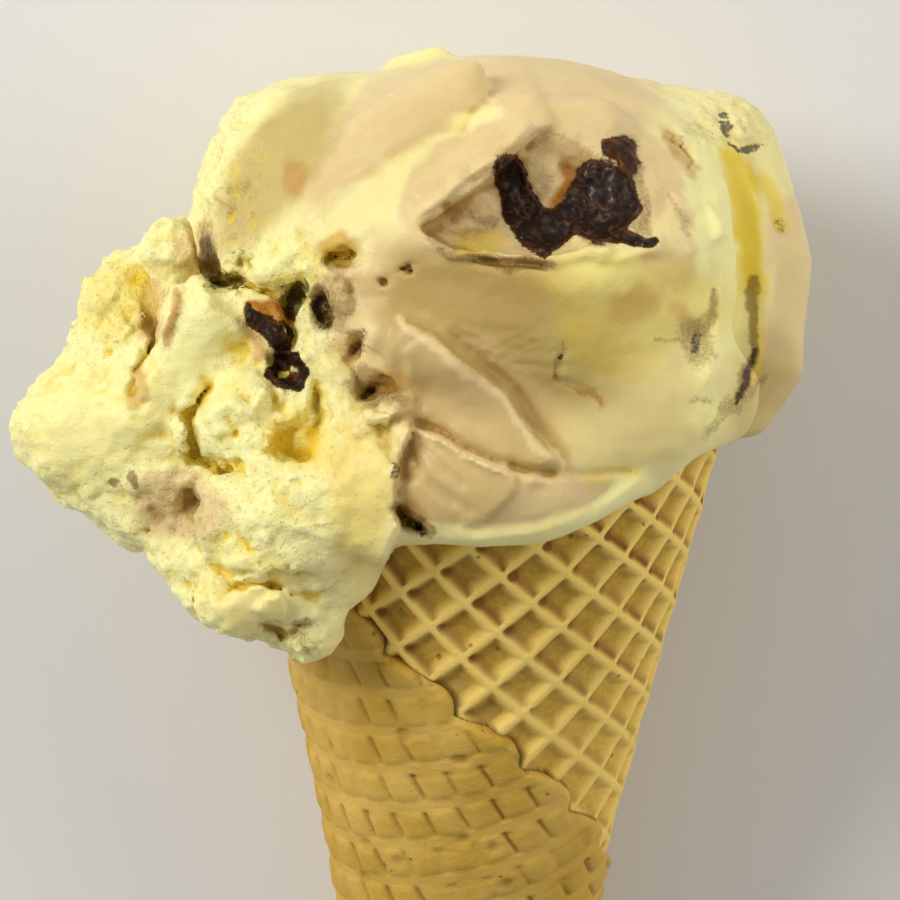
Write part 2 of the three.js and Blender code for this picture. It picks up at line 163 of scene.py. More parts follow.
class Lump:
    """A soft ellipsoid that may be turned in the plane of the face."""

    def __init__(self, x, y, z, a, b, c, turn=0):
        self.at = np.array((x, y, z), np.float32)
        self.size = np.array((a, b, c), np.float32)
        self.turn = math.radians(turn)
        self.reach = self.size if turn == 0 else np.array((max(a, b), max(a, b), c))

    def box(self):
        return self.at - self.reach, self.at + self.reach

    def distance(self, points):
        x, y, z = (points - self.at).T
        scaled = np.stack((*turned(x, y, self.turn), z), axis=1) / self.size
        near = np.linalg.norm(scaled, axis=1)
        slope = np.maximum(np.linalg.norm(scaled / self.size, axis=1), 1e-6)
        return near * (near - 1) / slope


class Strand:
    """A round-bodied line through some points."""

    def __init__(self, points, radius):
        self.points = np.array(points, np.float32)
        self.radius = radius

    def box(self):
        return self.points.min(axis=0) - self.radius, self.points.max(axis=0) + self.radius

    def distance(self, points):
        nearest = np.full(len(points), np.inf, np.float32)
        for start, end in zip(self.points, self.points[1:]):
            run = end - start
            share = np.clip((points - start) @ run / (run @ run), 0, 1)
            away = np.linalg.norm(points - start - share[:, None] * run, axis=1)
            nearest = np.minimum(nearest, away)
        return nearest - self.radius


def blend(a, b, softness):
    """The nearer of two distances, with a soft join between them."""
    share = np.maximum(softness - np.abs(a - b), 0) / softness
    return np.minimum(a, b) - share * share * softness / 4


def close_to(points, form, room):
    """Which points are in a form's box or within some room of it."""
    low, high = form.box()
    return np.flatnonzero(((points > low - room) & (points < high + room)).all(axis=1))


def press_on(distance, points, forms, softness):
    """Adds forms to what a distance describes."""
    for form in forms:
        near = close_to(points, form, softness + BAND)
        distance[near] = blend(distance[near], form.distance(points[near]), softness)


def carve_out(distance, points, forms, softness):
    """Takes forms away from what a distance describes."""
    for form in forms:
        near = close_to(points, form, softness + BAND)
        distance[near] = -blend(-distance[near], form.distance(points[near]), softness)


dome = Lump(2.5, 16, 4, 40, 30.5, 37.5)


def dome_front(x, y):
    """How far out of the plane of the face the dome's front stands."""
    across, up = (x - dome.at[0]) / dome.size[0], (y - dome.at[1]) / dome.size[1]
    return float(dome.at[2] + dome.size[2] * math.sqrt(max(0.02, 1 - across**2 - up**2)))


def face_lump(x, y, depth, a, b, c, turn=0):
    """A lump whose middle is at a depth below the dome's front."""
    return Lump(x, y, dome_front(x, y) - depth, a, b, c, turn)


def face_strand(places, depth, radius):
    """A strand that runs at a depth below the dome's front."""
    return Strand([(x, y, dome_front(x, y) - depth) for x, y in places], radius)


big_lumps = [
    dome,
    Lump(-22.5, 30.5, 3, 14.5, 13, 19),  # upper left shoulder
    Lump(29.5, 31, 1, 10, 10, 14),  # upper right shoulder
    Lump(-15, 13, -9.5, 28, 25, 25),  # back, on the left
    Lump(16, 14, -8.5, 26, 25, 25),  # back, on the right
    Lump(-39.5, -3, 9, 19.5, 18, 15),  # spill over the left side
    Lump(-25, 0, 13, 16, 17, 15),  # bridge from the dome to the spill
]

spill_lumps = [
    Lump(-52, -4, 13, 10.4, 9.5, 9),  # smooth facet at the far left
    Lump(-45.6, 11.2, 11, 8.8, 9, 9),  # knobbly upper lobe
    Lump(-41, 20, 17, 4, 4.6, 5),  # chunk above the upper lobe
    Lump(-36.5, -20, 14, 8, 7, 8),  # apron between the spill and the drip
    Lump(-25, -15, 22, 13, 12, 12),  # bright crumbly mound
    Lump(-30, -24, 18, 10, 7.5, 8),  # drip under the mound
    Lump(-23, -29, 19, 5, 5.5, 6),  # lowest drip
    Lump(-29.5, -29.5, 18, 4, 3, 4),
    Lump(-18.3, -21, 20, 5.5, 6.5, 6),  # right foot of the mound
    Lump(-34, -27, 24, 4.5, 3.5, 3),  # small petal
    Lump(-33.5, -3, 24, 6.5, 7, 5.5),  # crumbly knob
    Lump(22.3, 41.2, 6, 1.7, 1.6, 2),  # crumbs along the crest
    Lump(26.6, 40.2, 6, 1.6, 1.5, 2),
    Lump(30.4, 39.2, 6, 1.5, 1.5, 2),
]

face_lumps = [
    face_lump(17, 1, 9, 20, 13, 10),  # belly
    face_lump(-2, 2, 6.9, 15, 8, 6, -38),  # upper petal
    face_lump(-3, -12, 1.9, 10, 6, 6, -12),  # lower petal
    face_lump(-13, 33, 4.5, 17, 5.5, 6, 40),  # band across the cap
]

ridges = [
    Strand([(-33, 14, 25.5), (-46, -2, 20.5)], 5),  # smooth diagonal ridge of the spill
    Strand(
        [(33, 34, 6), (35.7, 27, 9), (37.9, 18.5, 11), (37, 11, 12), (36.5, 5, 13), (33.8, 1, 13)], 6.6
    ),  # right curtain
    Strand([(30.5, 30, 16), (31, 16, 22), (30, 3, 22)], 4.5),  # leaf-like fold beside it
    face_strand([(-9, 22), (0, 29), (6, 36), (15, 36)], 2.4, 4),  # upper lip of the hollow
    face_strand([(-7, 20), (4, 17.5), (15, 16.5), (25, 19)], 2.6, 4),  # lower lip of the hollow
    face_strand([(-13, 9), (-4, 5.5), (3, -1), (9, -7)], 0.6, 3),  # edge of the upper petal
    Strand([(-11, 45, 6), (-6, 46, 6)], 1.4),  # flakes at the crest
]

folds = [
    Strand([(35, 32, 20), (35.6, 20, 24), (35.5, 9, 24), (34.5, 2, 22), (31, -4, 22)], 2.6),
    Strand([(37.5, 30, 16), (39.6, 26.5, 16.5), (40.6, 23.4, 16.5)], 1.3),
]

main_crack = [
    Strand([(-39, 23, 23), (-31, 14, 30), (-22, 9, 33), (-15, 2, 37), (-11, -8, 38)], 3.2),
    Strand([(-22.5, -3, 31.5), (-25, -6, 31)], 3),  # yellow hollow right of the knob
]

# Where the ice cream stops short of the cone's right side.
undercut = Lump(31.6, -13, 14, 10, 7, 24, 28)

hollow = face_lump(8.5, 27.3, -1.5, 17.5, 9.4, 8, 12)
LIP_FROM, LIP_TO = (-8.5, 22.1), (7.6, 36.7)  # straight upper left edge of the hollow

fudge_pool = [
    face_lump(5, 26, 4.4, 3.4, 6.5, 3.2, -8),
    face_lump(16.5, 26.5, 3.2, 5.8, 7.5, 3.4),
    face_lump(11, 21, 3.8, 7.5, 3, 2.8),
]

fudge_ribbon = [Lump(-27.5, 8.5, 27, 3.2, 3.2, 3.2), Lump(-25.5, 3, 28, 2.6, 4.6, 3.2, -12)]


def on_cone(slant, angle, height):
    """Points at a slant distance, an angle to the right of the front and a height off the cone."""
    radius = slant * SIN_HALF + height * COS_HALF
    along = slant * COS_HALF - height * SIN_HALF - APEX_DROP
    return np.stack((radius * np.sin(angle), along, radius * np.cos(angle)), axis=-1)


def rim_roll():
    """Ice cream pressed out over the cone's rim in beads: fat at the front left, thin elsewhere."""
    fat, thin = 7.6, 2.8
    beads = []
    for angle in range(-180, 180, 15):
        at = lean @ Vector(on_cone(MOUTH_SLANT, math.radians(angle), 0))
        radius = fat if -75 < angle < 30 else thin
        beads.append(Lump(*at, radius, radius, radius))
    return beads


# ---- Marks on the shown face, drawn in its plane as it is seen from the front ----


class Stroke:
    """A line drawn on the face through some places."""

    def __init__(self, *places):
        self.places = np.array(places, np.float32)

    def measured(self, face):
        """Distance from the line, less than nothing on its right, and the share of its length."""
        runs = np.diff(self.places, axis=0)
        lengths = np.linalg.norm(runs, axis=1)
        whole = lengths.sum()
        nearest = np.full(len(face), np.inf, np.float32)
        side = np.ones(len(face), np.float32)
        along = np.zeros(len(face), np.float32)
        before = 0
        for start, run, length in zip(self.places, runs, lengths):
            away = face - start
            share = np.clip(away @ run / length**2, 0, 1)
            gap = np.linalg.norm(away - share[:, None] * run, axis=1)
            closer = gap < nearest
            nearest = np.where(closer, gap, nearest)
            turn = run[0] * away[:, 1] - run[1] * away[:, 0]
            side = np.where(closer, np.sign(turn), side)
            along = np.where(closer, (before + share * length) / whole, along)
            before += length
        return nearest * np.where(side == 0, 1, side), along

    def mask(self, face, width, softness):
        """1 up to a width from the line, fading out beyond it."""
        gap = np.abs(self.measured(face)[0])
        return 1 - smooth(gap, width, width + softness)


class Patch:
    """An oval on the face that may be turned."""

    def __init__(self, x, y, a, b, turn=0):
        self.at = (x, y)
        self.size = (a, b)
        self.turn = math.radians(turn)

    def mask(self, face, softness):
        """1 inside the oval, fading out beyond it."""
        across, up = turned(*(face - np.array(self.at, np.float32)).T, self.turn)
        near = np.hypot(across / self.size[0], up / self.size[1])
        return 1 - smooth((near - 1) * min(self.size), 0, softness)


def ends(along, share=0.12):
    """Fades a mark out at both ends of its line."""
    return smooth(along, 0, share) * smooth(along, 1, 1 - share)


def bump_line(face, stroke, reach, height):
    """A soft ridge along a line, or a groove where its height is less than nothing."""
    gap, along = stroke.measured(face)
    return height * ends(along) * smooth(np.abs(gap), reach, 0)


def ledge(face, stroke, height, fall, lip=0.7):
    """Raised up to the line from its right side, with a crisp drop beyond it."""
    gap, along = stroke.measured(face)
    rise = np.exp(np.minimum(gap, 0) / fall) * smooth(gap, lip, 0)
    return height * ends(along, 0.08) * rise


lip_edge = Stroke(
    (10.3, 36.6), (6.4, 35.1), (5.1, 32.5), (2.5, 29.6), (-1.4, 27.2), (-4.7, 25.3), (-7.3, 23)
)
lip_ridge = Stroke((-9, 23.4), (-4.8, 26.6), (-2.4, 28.8), (1.9, 31.4), (5.1, 34.7), (7, 36.6))
under_lip = Stroke((-2.5, 18.7), (1.2, 17.8), (5.1, 17.5), (9.7, 17))
petal_edge = Stroke(
    (-11.7, 10.6), (-6.2, 8.3), (-3.5, 5.6), (0, 3.2), (2.9, 0.6), (6.4, -4.3), (9.3, -7.2), (11, -8.6)
)
petal_crease = Stroke(
    (-9.6, -2.9), (-8.6, -3.25), (-5.05, -4.4), (-2, -6.5), (1.8, -8.2), (5.5, -9.35), (9.3, -9.9), (11, -10)
)
crease_end = Stroke((8, -9.8), (14.9, -9.9), (20.5, -9.5))
lower_lip = Stroke(
    (-8, 21.4), (-3.6, 18.7), (0.6, 19), (5.7, 18.3), (10.2, 18), (13.4, 19), (17.5, 18.2), (21.3, 19.2),
    (26, 20),
)
petal_valley = Stroke((-5.2, 9.4), (-2.3, 6.9), (1.1, 4.3), (4.1, 1.7), (7.5, -3.2), (10.3, -6.2), (12, -8))
leaf_edge = Stroke((24.8, 27), (26.8, 26.4), (29.7, 26), (31.8, 23.5), (33, 21))
wrinkle_patch = Patch(4, 7, 5.4, 2, -12)
low_petal_top = Stroke((4.2, -9.9), (1.8, -9.5), (-2, -7.5), (-5.4, -5.6), (-9.5, -3.8))
low_petal_edge = Stroke((4.4, -9.6), (4.3, -12), (0.3, -16.1), (-3, -16.9))
mound_edge = Stroke((-8.8, -2.4), (-10.8, -7.7), (-11.6, -12.3), (-11, -16.9), (-13.4, -22.6))
petal_left = Stroke((-9.3, -3.5), (-10.1, -0.9), (-9.3, 1.8), (-9.1, 5.1), (-10.2, 6.8))
bottom_rim = Stroke((-5.6, -17.4), (-0.1, -18.6), (7.8, -17.7), (15.7, -14.9), (21.2, -11), (22.9, -9.4))
wet_streaks = [
    Stroke((-8.3, -5.5), (-5.4, -8.7), (-1.7, -12)),
    Stroke((-7.3, -10.4), (-4.1, -12.7), (-0.8, -15.2)),
    Stroke((-9, -7.5), (-6.5, -11.5), (-3, -14.5)),
]
belly_mark = Stroke((10.7, 7), (10.4, 4.9), (9.9, 2.6), (12.5, 1.6), (14.9, 0.7), (15.7, -0.7))
cap_folds = [
    Stroke((-27, 21), (-19.5, 27), (-10, 34.5), (-1, 39.5)),
    Stroke((-24, 17.5), (-15, 23), (-6, 29.5), (2, 35.5)),
]
fold_strip = Stroke((31, 28.9), (31.9, 22.3), (31.9, 14.4), (31, 6.5), (29, -0.2))


def wrinkled(face):
    """Fine ripples that run across the belly."""
    x, y = face.T
    across = np.stack((x * 0.3, y + 0.2 * x, x * 0), axis=1)
    return ripple(across, 0.7, 4.4) + 0.6 * ripple(across, 0.4, 9.9)


# A ledge has a height, a fall and perhaps a lip. A ridge or groove has a reach and a height.
face_forms = [
    (ledge, lip_edge, 1.5, 5),
    (bump_line, lip_ridge, 1.2, 1.6),
    (bump_line, under_lip, 1.1, -0.8),
    (ledge, petal_edge, 1.3, 5, 0.45),
    (bump_line, petal_valley, 2.2, -0.8),
    (bump_line, petal_crease, 1.2, -1.3),
    (bump_line, crease_end, 0.7, -0.5),
    (ledge, low_petal_top, 0.9, 2.2, 0.5),
    (ledge, low_petal_edge, 0.6, 2, 0.45),
    (ledge, leaf_edge, 0.9, 3, 0.5),
    (bump_line, lower_lip, 1.3, 0.8),
    (ledge, petal_left, 0.8, 2.5, 1.4),
    (ledge, mound_edge, 2.4, 6, 0.6),
    (bump_line, bottom_rim, 1.8, 0.9),
    (bump_line, belly_mark, 0.7, -0.4),
    (bump_line, fold_strip, 2.2, 0.7),
    *[(bump_line, streak, 0.9, -0.45) for streak in wet_streaks],
    *[(bump_line, fold, 2.4, 0.5) for fold in cap_folds],
]


def face_relief(face):
    """Height of the fine forms on the shown face."""
    relief = 0.3 * wrinkle_patch.mask(face, 2) * wrinkled(face)
    for form, stroke, *sizes in face_forms:
        relief += form(face, stroke, *sizes)
    return relief


# Holes and cuts of the broken side: place, half sizes, turn and depth.
dents = [
    (-33.7, 15.6, 2.6, 1, 8, 4),
    (-24.7, 13.4, 1.5, 2.6, -25, 4.5),
    (-21, 12, 1.3, 2.4, 15, 3),
    (-18.4, 18.4, 2.3, 1.5, 4, 2.6),
    (-16.3, 7, 0.9, 1.6, -15, 3),
    (-13.9, 1, 2.6, 1.5, 20, 2.6),
    (-25.6, 3.9, 2.4, 1.7, 0, 1.6),
    (-12.5, 15.6, 0.8, 0.7, 0, 1.6),
    (-9.2, 17, 1, 0.6, 20, 1.4),
    (-24, -6, 3.2, 2.8, -20, 1.4),
]

cuts = [
    (Stroke((-37.8, 24.6), (-37.1, 21), (-36.2, 18), (-34.5, 15.8)), 1.7, 2.6),
    (Stroke((-32, 15.2), (-28.9, 14.2), (-25.5, 13.4), (-22, 13.2)), 1.5, 2),
    (Stroke((-24.5, 12), (-24.8, 8.5), (-26.6, 5.6), (-27.4, 2.6)), 2.2, 2.2),
    (Stroke((-34.6, 3), (-38.3, -2.6), (-37.7, -7.8), (-33.6, -9.4), (-30, -9)), 1.7, 2.4),
    (Stroke((-20.8, 8), (-17.5, 6), (-15.5, 2), (-12.5, 0)), 1.5, 1.4),
    (Stroke((-46.8, 18), (-43.6, 13), (-43.2, 8), (-45.3, 3), (-46.5, -1)), 1.5, 1.5),
    (Stroke((-22, 2.5), (-21, -2.5), (-22.5, -6)), 1.6, 1.6),
    (Stroke((-11.2, -14.4), (-9.3, -16.4), (-7.2, -17.6)), 1.2, 3),
    (Stroke((24.4, 36.3), (26.2, 33.7), (27.6, 31.2), (28, 30.4)), 0.8, 1),
    (Stroke((-37, -21.5), (-33, -23.6), (-29.8, -22.6)), 1.1, 1.4),
    (Stroke((-34, -25.4), (-29.5, -24.4), (-25.5, -25.4)), 1, 1.2),
    (Stroke((-29.5, -30), (-26, -31.4), (-22.5, -29.8)), 0.8, 1),
    (Stroke((-40.5, -13), (-36, -14.5), (-33, -19)), 1.8, 1.2),
]

# Soft bosses of the broken side: place, half sizes, turn and height.
bosses = [
    (-31, 0.5, 3.6, 3.4, 20, 1.6),
    (-33.2, -2.8, 3, 2.6, 0, 1.4),
    (-29.5, -4.6, 2.6, 2, 30, 1.2),
    (-12.8, -1.2, 2.8, 1.8, 25, 2.2),
    (-10.2, -1, 1.5, 1.3, 0, 1.2),
    (-12.6, 0.8, 1.3, 1.5, 20, 1),
    (-15.8, -3.2, 2.4, 1.8, 0, 1.4),
    (-27.6, 17.2, 3.2, 1.7, 30, 1.6),
    (-18.6, 13.8, 1.5, 2.4, 10, 1.6),
    (-33.4, 19.3, 2.6, 1.5, 0, 0.8),
    (-50.5, 14, 2.6, 2, 40, 0.8),
    (-48.5, 9, 2.4, 2, 0, 0.8),
    (-41.5, 12, 1.8, 4.4, -12, 1.2),
    (36.2, 36.4, 1.9, 1.9, 0, 1.8),
    (15.5, 19.6, 2.2, 1.2, 0, 1.2),
    (22.5, 20, 1.8, 1, 20, 0.8),
    (7.6, 29.6, 2.6, 3.6, 15, 1),
]

# Thin smooth flakes of the drip: place, half sizes, turn and height.
flakes = [
    (-31.2, -23, 3.2, 2, -24, 1),
    (-30.4, -27.6, 4.6, 2.7, 14, 1.1),
    (-25.6, -28, 4, 1.8, -8, 0.9),
]


def oval(face, x, y, a, b, turn, outer=1.25, inner=0.55):
    """1 in the middle of an oval, with steep sides."""
    across, up = turned(face[:, 0] - x, face[:, 1] - y, math.radians(turn))
    return smooth(np.hypot(across / a, up / b), outer, inner)


def broken_relief(face):
    """Height of the holes, cuts and bosses where the ice cream broke."""
    relief = np.zeros(len(face), np.float32)
    for *place, depth in dents:
        relief -= depth * oval(face, *place)
    for stroke, reach, depth in cuts:
        relief += bump_line(face, stroke, reach, -depth)
    for *place, height in bosses:
        relief += height * oval(face, *place)
    for *place, height in flakes:
        relief += height * oval(face, *place, 1.1, 0.85)
    return relief


def around(points, x, y, across, up):
    """1 at a place of the face, fading away around it."""
    return np.exp(-(((points[:, 0] - x) / across) ** 2 + ((points[:, 1] - y) / up) ** 2))


def crumbly(points):
    """How rough the ice cream is: smooth where the scoop slid over it, crumbly where it broke."""
    x, y, z = points.T
    spill = smooth(x, -12, -27) * smooth(z, -8, 8)
    facet = around(points, -53, -4, 9, 9)
    slide = around(points, -38, 5, 7, 8)
    cap = smooth(y, 17, 25) * smooth(x, -36, -26)
    rough = spill * (1 - 0.85 * facet) * (1 - 0.85 * slide) * (1 - 0.85 * cap)
    flat = sum(oval(points[:, :2], *place, 1.3, 0.9) for *place, height in flakes)
    rough = rough * (1 - 0.8 * np.minimum(flat, 1))
    corner = around(points, 34, 37.5, 6, 4)
    inside = around(points, 8, 27, 13, 8) * smooth(z, 20, 30)
    blob = around(points, -14, -3, 4, 4) * smooth(z, 10, 25)
    everywhere = 0.1
    return np.clip(rough + corner + 0.6 * inside + 0.7 * blob + everywhere, 0, 1)


rim_beads = rim_roll()


def hollow_room(points):
    """Distance to the hollow, which ends at its straight lip on the upper left."""
    run = np.subtract(LIP_TO, LIP_FROM)
    out = np.array((-run[1], run[0])) / np.hypot(*run)
    beyond = (points[:, :2] - np.array(LIP_FROM)) @ out
    return np.maximum(hollow.distance(points), beyond.astype(np.float32))


def scoop_distance(points):
    """Distance from the ice cream's surface, less than nothing inside it."""
    rough = crumbly(points)
    drifted = points + 1.1 * rough[:, None] * drift(points, 5.5, 3.1, 17.7, 41.3)
    distance = np.full(len(points), 50, np.float32)
    press_on(distance, drifted, big_lumps, softness=6)
    press_on(distance, drifted, spill_lumps, softness=2.4)
    press_on(distance, points, face_lumps + ridges, softness=2.5)
    press_on(distance, points, rim_beads, softness=7)
    carve_out(distance, points, [undercut], softness=1.6)
    distance[:] = -blend(-distance, hollow_room(points), softness=0.8)
    carve_out(distance, points, folds, softness=2)
    carve_out(distance, drifted, main_crack, softness=1.5)
    near = np.flatnonzero(np.abs(distance) < DEEPEST_DENT)
    distance[near] -= fine_relief(points[near], rough[near])
    floor = placed(points, scoop_placing)[:, 2]
    return np.maximum(distance, -floor)


def fluff(points):
    """Height of the torn, fluffy surface, and how deep in a crease each point is."""
    torn = points + 0.6 * drift(points, 2.6, 2.2, 14.4, 25.5)
    height = 0.75 * ripple(torn, 5.2, 1.1) + 0.6 * ripple(torn, 2.7, 6.6)
    height += 0.5 * ripple(torn, 1.5, 9.9) + 0.35 * ripple(torn, 0.95, 4.4)
    return height, smooth(height, 0.1, -0.8)


def fine_relief(points, rough):
    """Height of all that is too fine to be a form of its own."""
    front = smooth(points[:, 2], 8, 20)
    jagged = drift(points, 1.9, 12.5, 33.5)
    relief = front * (face_relief(points[:, :2]) + broken_relief(points[:, :2] + 0.9 * jagged))
    rougher = np.flatnonzero(rough > 0.06)
    relief[rougher] += rough[rougher] * fluff(points[rougher])[0]
    swirl = points * np.array((0.5, 1, 1), np.float32)
    return relief + 0.28 * ripple(swirl, 6) + 0.1 * ripple(swirl, 2.2)


# ---- Skins: points and faces where a distance is nothing ----


def stretched(values, times, axis):
    """Values of a coarse lattice filled in along one of its axes."""
    last = values.shape[axis] - 1
    places = np.arange(last * times + 1) / times
    low = np.minimum(places.astype(int), last - 1)
    share = (places - low).astype(np.float32)
    share = share.reshape([-1 if i == axis else 1 for i in range(3)])
    return np.take(values, low, axis) * (1 - share) + np.take(values, low + 1, axis) * share


def sampled(distance, low, high, step, times=4):
    """Distances on a lattice: exact near the surface and rough elsewhere."""
    counts = np.ceil((np.array(high) - low) / (step * times)).astype(int) + 1
    axes = [np.arange(count) * step * times + start for count, start in zip(counts, low)]
    coarse = np.stack(np.meshgrid(*axes, indexing="ij"), axis=-1).reshape(-1, 3).astype(np.float32)
    values = distance(coarse).reshape(counts)
    for axis in range(3):
        values = stretched(values, times, axis)
    near = np.argwhere(np.abs(values) < step * times * 1.1)
    points = (near * step + np.array(low)).astype(np.float32)
    for part in np.array_split(np.arange(len(near)), 8):
        values[tuple(near[part].T)] = distance(points[part])
    return values


def skin(values, low, step):
    """Points and four-sided faces of the surface through a lattice of distances."""
    cells = np.array(values.shape) - 1
    places, rings = [], []
    for axis in range(3):
        ahead = np.moveaxis(values, axis, 0)[1:]
        here = np.moveaxis(values, axis, 0)[:-1]
        node = np.argwhere(np.moveaxis((here < 0) != (ahead < 0), 0, axis))
        start = values[tuple(node.T)]
        step_on = np.eye(3, dtype=int)[axis]
        end = values[tuple((node + step_on).T)]
        place = node + (start / (start - end))[:, None] * step_on
        ring = []
        for one, two in ((0, 0), (1, 0), (1, 1), (0, 1)):
            cell = node.copy()
            cell[:, (axis + 1) % 3] -= one
            cell[:, (axis + 2) % 3] -= two
            ring.append(np.ravel_multi_index(cell.T, cells))
        ring = np.stack(ring, axis=1)
        ring[start > 0] = ring[start > 0][:, ::-1]
        places.append(np.repeat(place, 4, axis=0))
        rings.append(ring)
    rings = np.concatenate(rings)
    _, faces = np.unique(rings, return_inverse=True)
    places = np.concatenate(places)
    index = faces.ravel()
    # Each ring may have been turned round, but its four cells share one crossing place.
    count = np.bincount(index)
    points = np.stack([np.bincount(index, places[:, i]) / count for i in range(3)], axis=1)
    return points * step + np.array(low), faces.reshape(-1, 4)


def sides(faces):
    """The four edges of every face, in the face's order."""
    return np.concatenate([faces[:, (i, (i + 1) % 4)] for i in range(4)])


def settled(points, faces, values, low, step):
    """Points evened out among their neighbours, then drawn back to where the distance is nothing."""
    here, beside = sides(faces).T
    count = np.bincount(here, minlength=len(points))[:, None]
    for _ in range(3):
        mean = np.stack([np.bincount(here, points[beside, i]) for i in range(3)], axis=1) / count
        points = (points + mean) / 2
        points = points - onto_surface((points - low) / step, values) * step
    return points


def looked_up(places, values):
    """Values of a lattice, and their slopes, at places between its nodes."""
    corner = np.floor(places).astype(int)
    part = places - corner
    level = np.zeros(len(places))
    slope = np.zeros((len(places), 3))
    for far in np.ndindex(2, 2, 2):
        weight = np.where(far, part, 1 - part)
        value = values[tuple((corner + far).T)]
        level += value * weight.prod(axis=1)
        for axis in range(3):
            rest = np.delete(weight, axis, axis=1).prod(axis=1)
            slope[:, axis] += value * rest * (1 if far[axis] else -1)
    return level, slope


def onto_surface(places, values):
    """How far each place of a lattice is from where its values pass nothing."""
    level, slope = looked_up(places, values)
    steep = np.maximum((slope * slope).sum(axis=1), 0.02)
    return slope * np.clip(level / steep, -1, 1)[:, None]


def blurred(solid, reach):
    """Share of a lattice's neighbourhood that is solid."""
    for axis in range(3):
        for _ in range(2):
            run = np.cumsum(np.moveaxis(solid, axis, 0), axis=0, dtype=np.float32)
            padded = np.concatenate((run[:1] * 0, run))
            width = 2 * reach + 1
            mean = (padded[width:] - padded[:-width]) / width
            full = np.zeros_like(run)
            full[reach : reach + len(mean)] = mean
            solid = np.moveaxis(full, 0, axis)
    return solid


def crowding(points, values, low, step, reach):
    """0 on open surface, towards 1 in narrow places, where shade is painted into the colour."""
    solid = np.clip(0.5 - values / step, 0, 1)
    share, _ = looked_up((points - low) / step, blurred(solid, round(reach / step)))
    return smooth(share, 0.52, 0.75)


def make_piece(name, node, points, faces, material, marks):
    """A piece that stands for a CAD node. Its points are in the frame of the whole, in mm."""
    mesh = bpy.data.meshes.new(name)
    mesh.vertices.add(len(points))
    mesh.vertices.foreach_set("co", (points * MM).astype(np.float32).ravel())
    mesh.loops.add(faces.size)
    mesh.loops.foreach_set("vertex_index", faces.ravel().astype(np.int32))
    mesh.polygons.add(len(faces))
    mesh.polygons.foreach_set("loop_start", np.arange(0, faces.size, 4, dtype=np.int32))
    mesh.update(calc_edges=True)
    mesh.validate()
    mesh.shade_smooth()
    for mark, values in marks.items():
        attribute = mesh.attributes.new(mark, "FLOAT", "POINT")
        attribute.data.foreach_set("value", values.astype(np.float32))
    mesh.materials.append(material)
    piece = bpy.data.objects.new(name, mesh)
    bpy.context.collection.objects.link(piece)
    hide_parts(node)
    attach(piece, "root")


# ---- Materials ----


class Wire:
    """One output of a node, used in sums like a number."""

    def __init__(self, recipe, socket):
        self.recipe = recipe
        self.socket = socket

    def __add__(self, other):
        return self.recipe.sum("ADD", self, other)

    def __sub__(self, other):
        return self.recipe.sum("SUBTRACT", self, other)

    def __rsub__(self, other):
        return self.recipe.sum("SUBTRACT", other, self)

    def __mul__(self, other):
        return self.recipe.sum("MULTIPLY", self, other)

    __radd__ = __add__
    __rmul__ = __mul__


class Recipe:
    """A material that is mixed from nodes around one Principled shader."""

    def __init__(self, name, **constants):
        self.material = bpy.data.materials.new(name)
        self.material.use_nodes = True
        self.tree = self.material.node_tree
        self.shader = self.tree.nodes["Principled BSDF"]
        for socket, value in constants.items():
            self.shader.inputs[socket.replace("_", " ")].default_value = value
        self.place = self.add("ShaderNodeTexCoord", output="Object")

    def feed(self, socket, value):
        if isinstance(value, Wire):
            self.tree.links.new(value.socket, socket)
        else:
            socket.default_value = value

    def add(self, kind, settings=(), output=0, **sockets):
        """A node of a kind: its settings first, then the values or wires of its sockets."""
        node = self.tree.nodes.new(kind)
        for setting, value in dict(settings).items():
            setattr(node, setting, value)
        for socket, value in sockets.items():
            key = int(socket[1:]) if socket[1:].isdigit() else socket.replace("_", " ")
            self.feed(node.inputs[key], value)
        return Wire(self, node.outputs[output])

    def sum(self, operation, first, second):
        return self.add("ShaderNodeMath", {"operation": operation}, _0=first, _1=second)

    def mark(self, name):
        """A value that the piece's points carry."""
        return self.add("ShaderNodeAttribute", {"attribute_name": name}, output="Fac")

    def noise(self, size, detail, roughness, distortion=0):
        """Soft noise whose lumps have a size in millimetres."""
        return self.add(
            "ShaderNodeTexNoise",
            Vector=self.place,
            Scale=1 / (size * MM),
            Detail=detail,
            Roughness=roughness,
            Distortion=distortion,
        )

    def between(self, value, start, end):
        """0 to 1 as a value goes from start to end, softly."""
        return self.add(
            "ShaderNodeMapRange",
            {"interpolation_type": "SMOOTHSTEP"},
            Value=value,
            From_Min=start,
            From_Max=end,
        )

    def mix(self, share, first, second):
        """Colours mixed by a share."""
        return self.add("ShaderNodeMix", {"data_type": "RGBA"}, output=2, _0=share, _6=first, _7=second)

    def coated(self, base, *coats):
        """A colour with coats laid over it, each a share and a tint."""
        for share, tint in coats:
            base = self.mix(share, base, tint)
        return base

    def bump(self, height, distance):
        return self.add("ShaderNodeBump", Height=height, Distance=distance * MM, Strength=1.0)

    def finish(self, **sockets):
        for socket, value in sockets.items():
            self.feed(self.shader.inputs[socket.replace("_", " ")], value)
        return self.material


def colour(red, green, blue):
    """A colour as it looks, from 0 to 255, turned into light."""

    def light(value):
        value /= 255
        return value / 12.92 if value <= 0.04045 else ((value + 0.055) / 1.055) ** 2.4

    return (light(red), light(green), light(blue), 1)


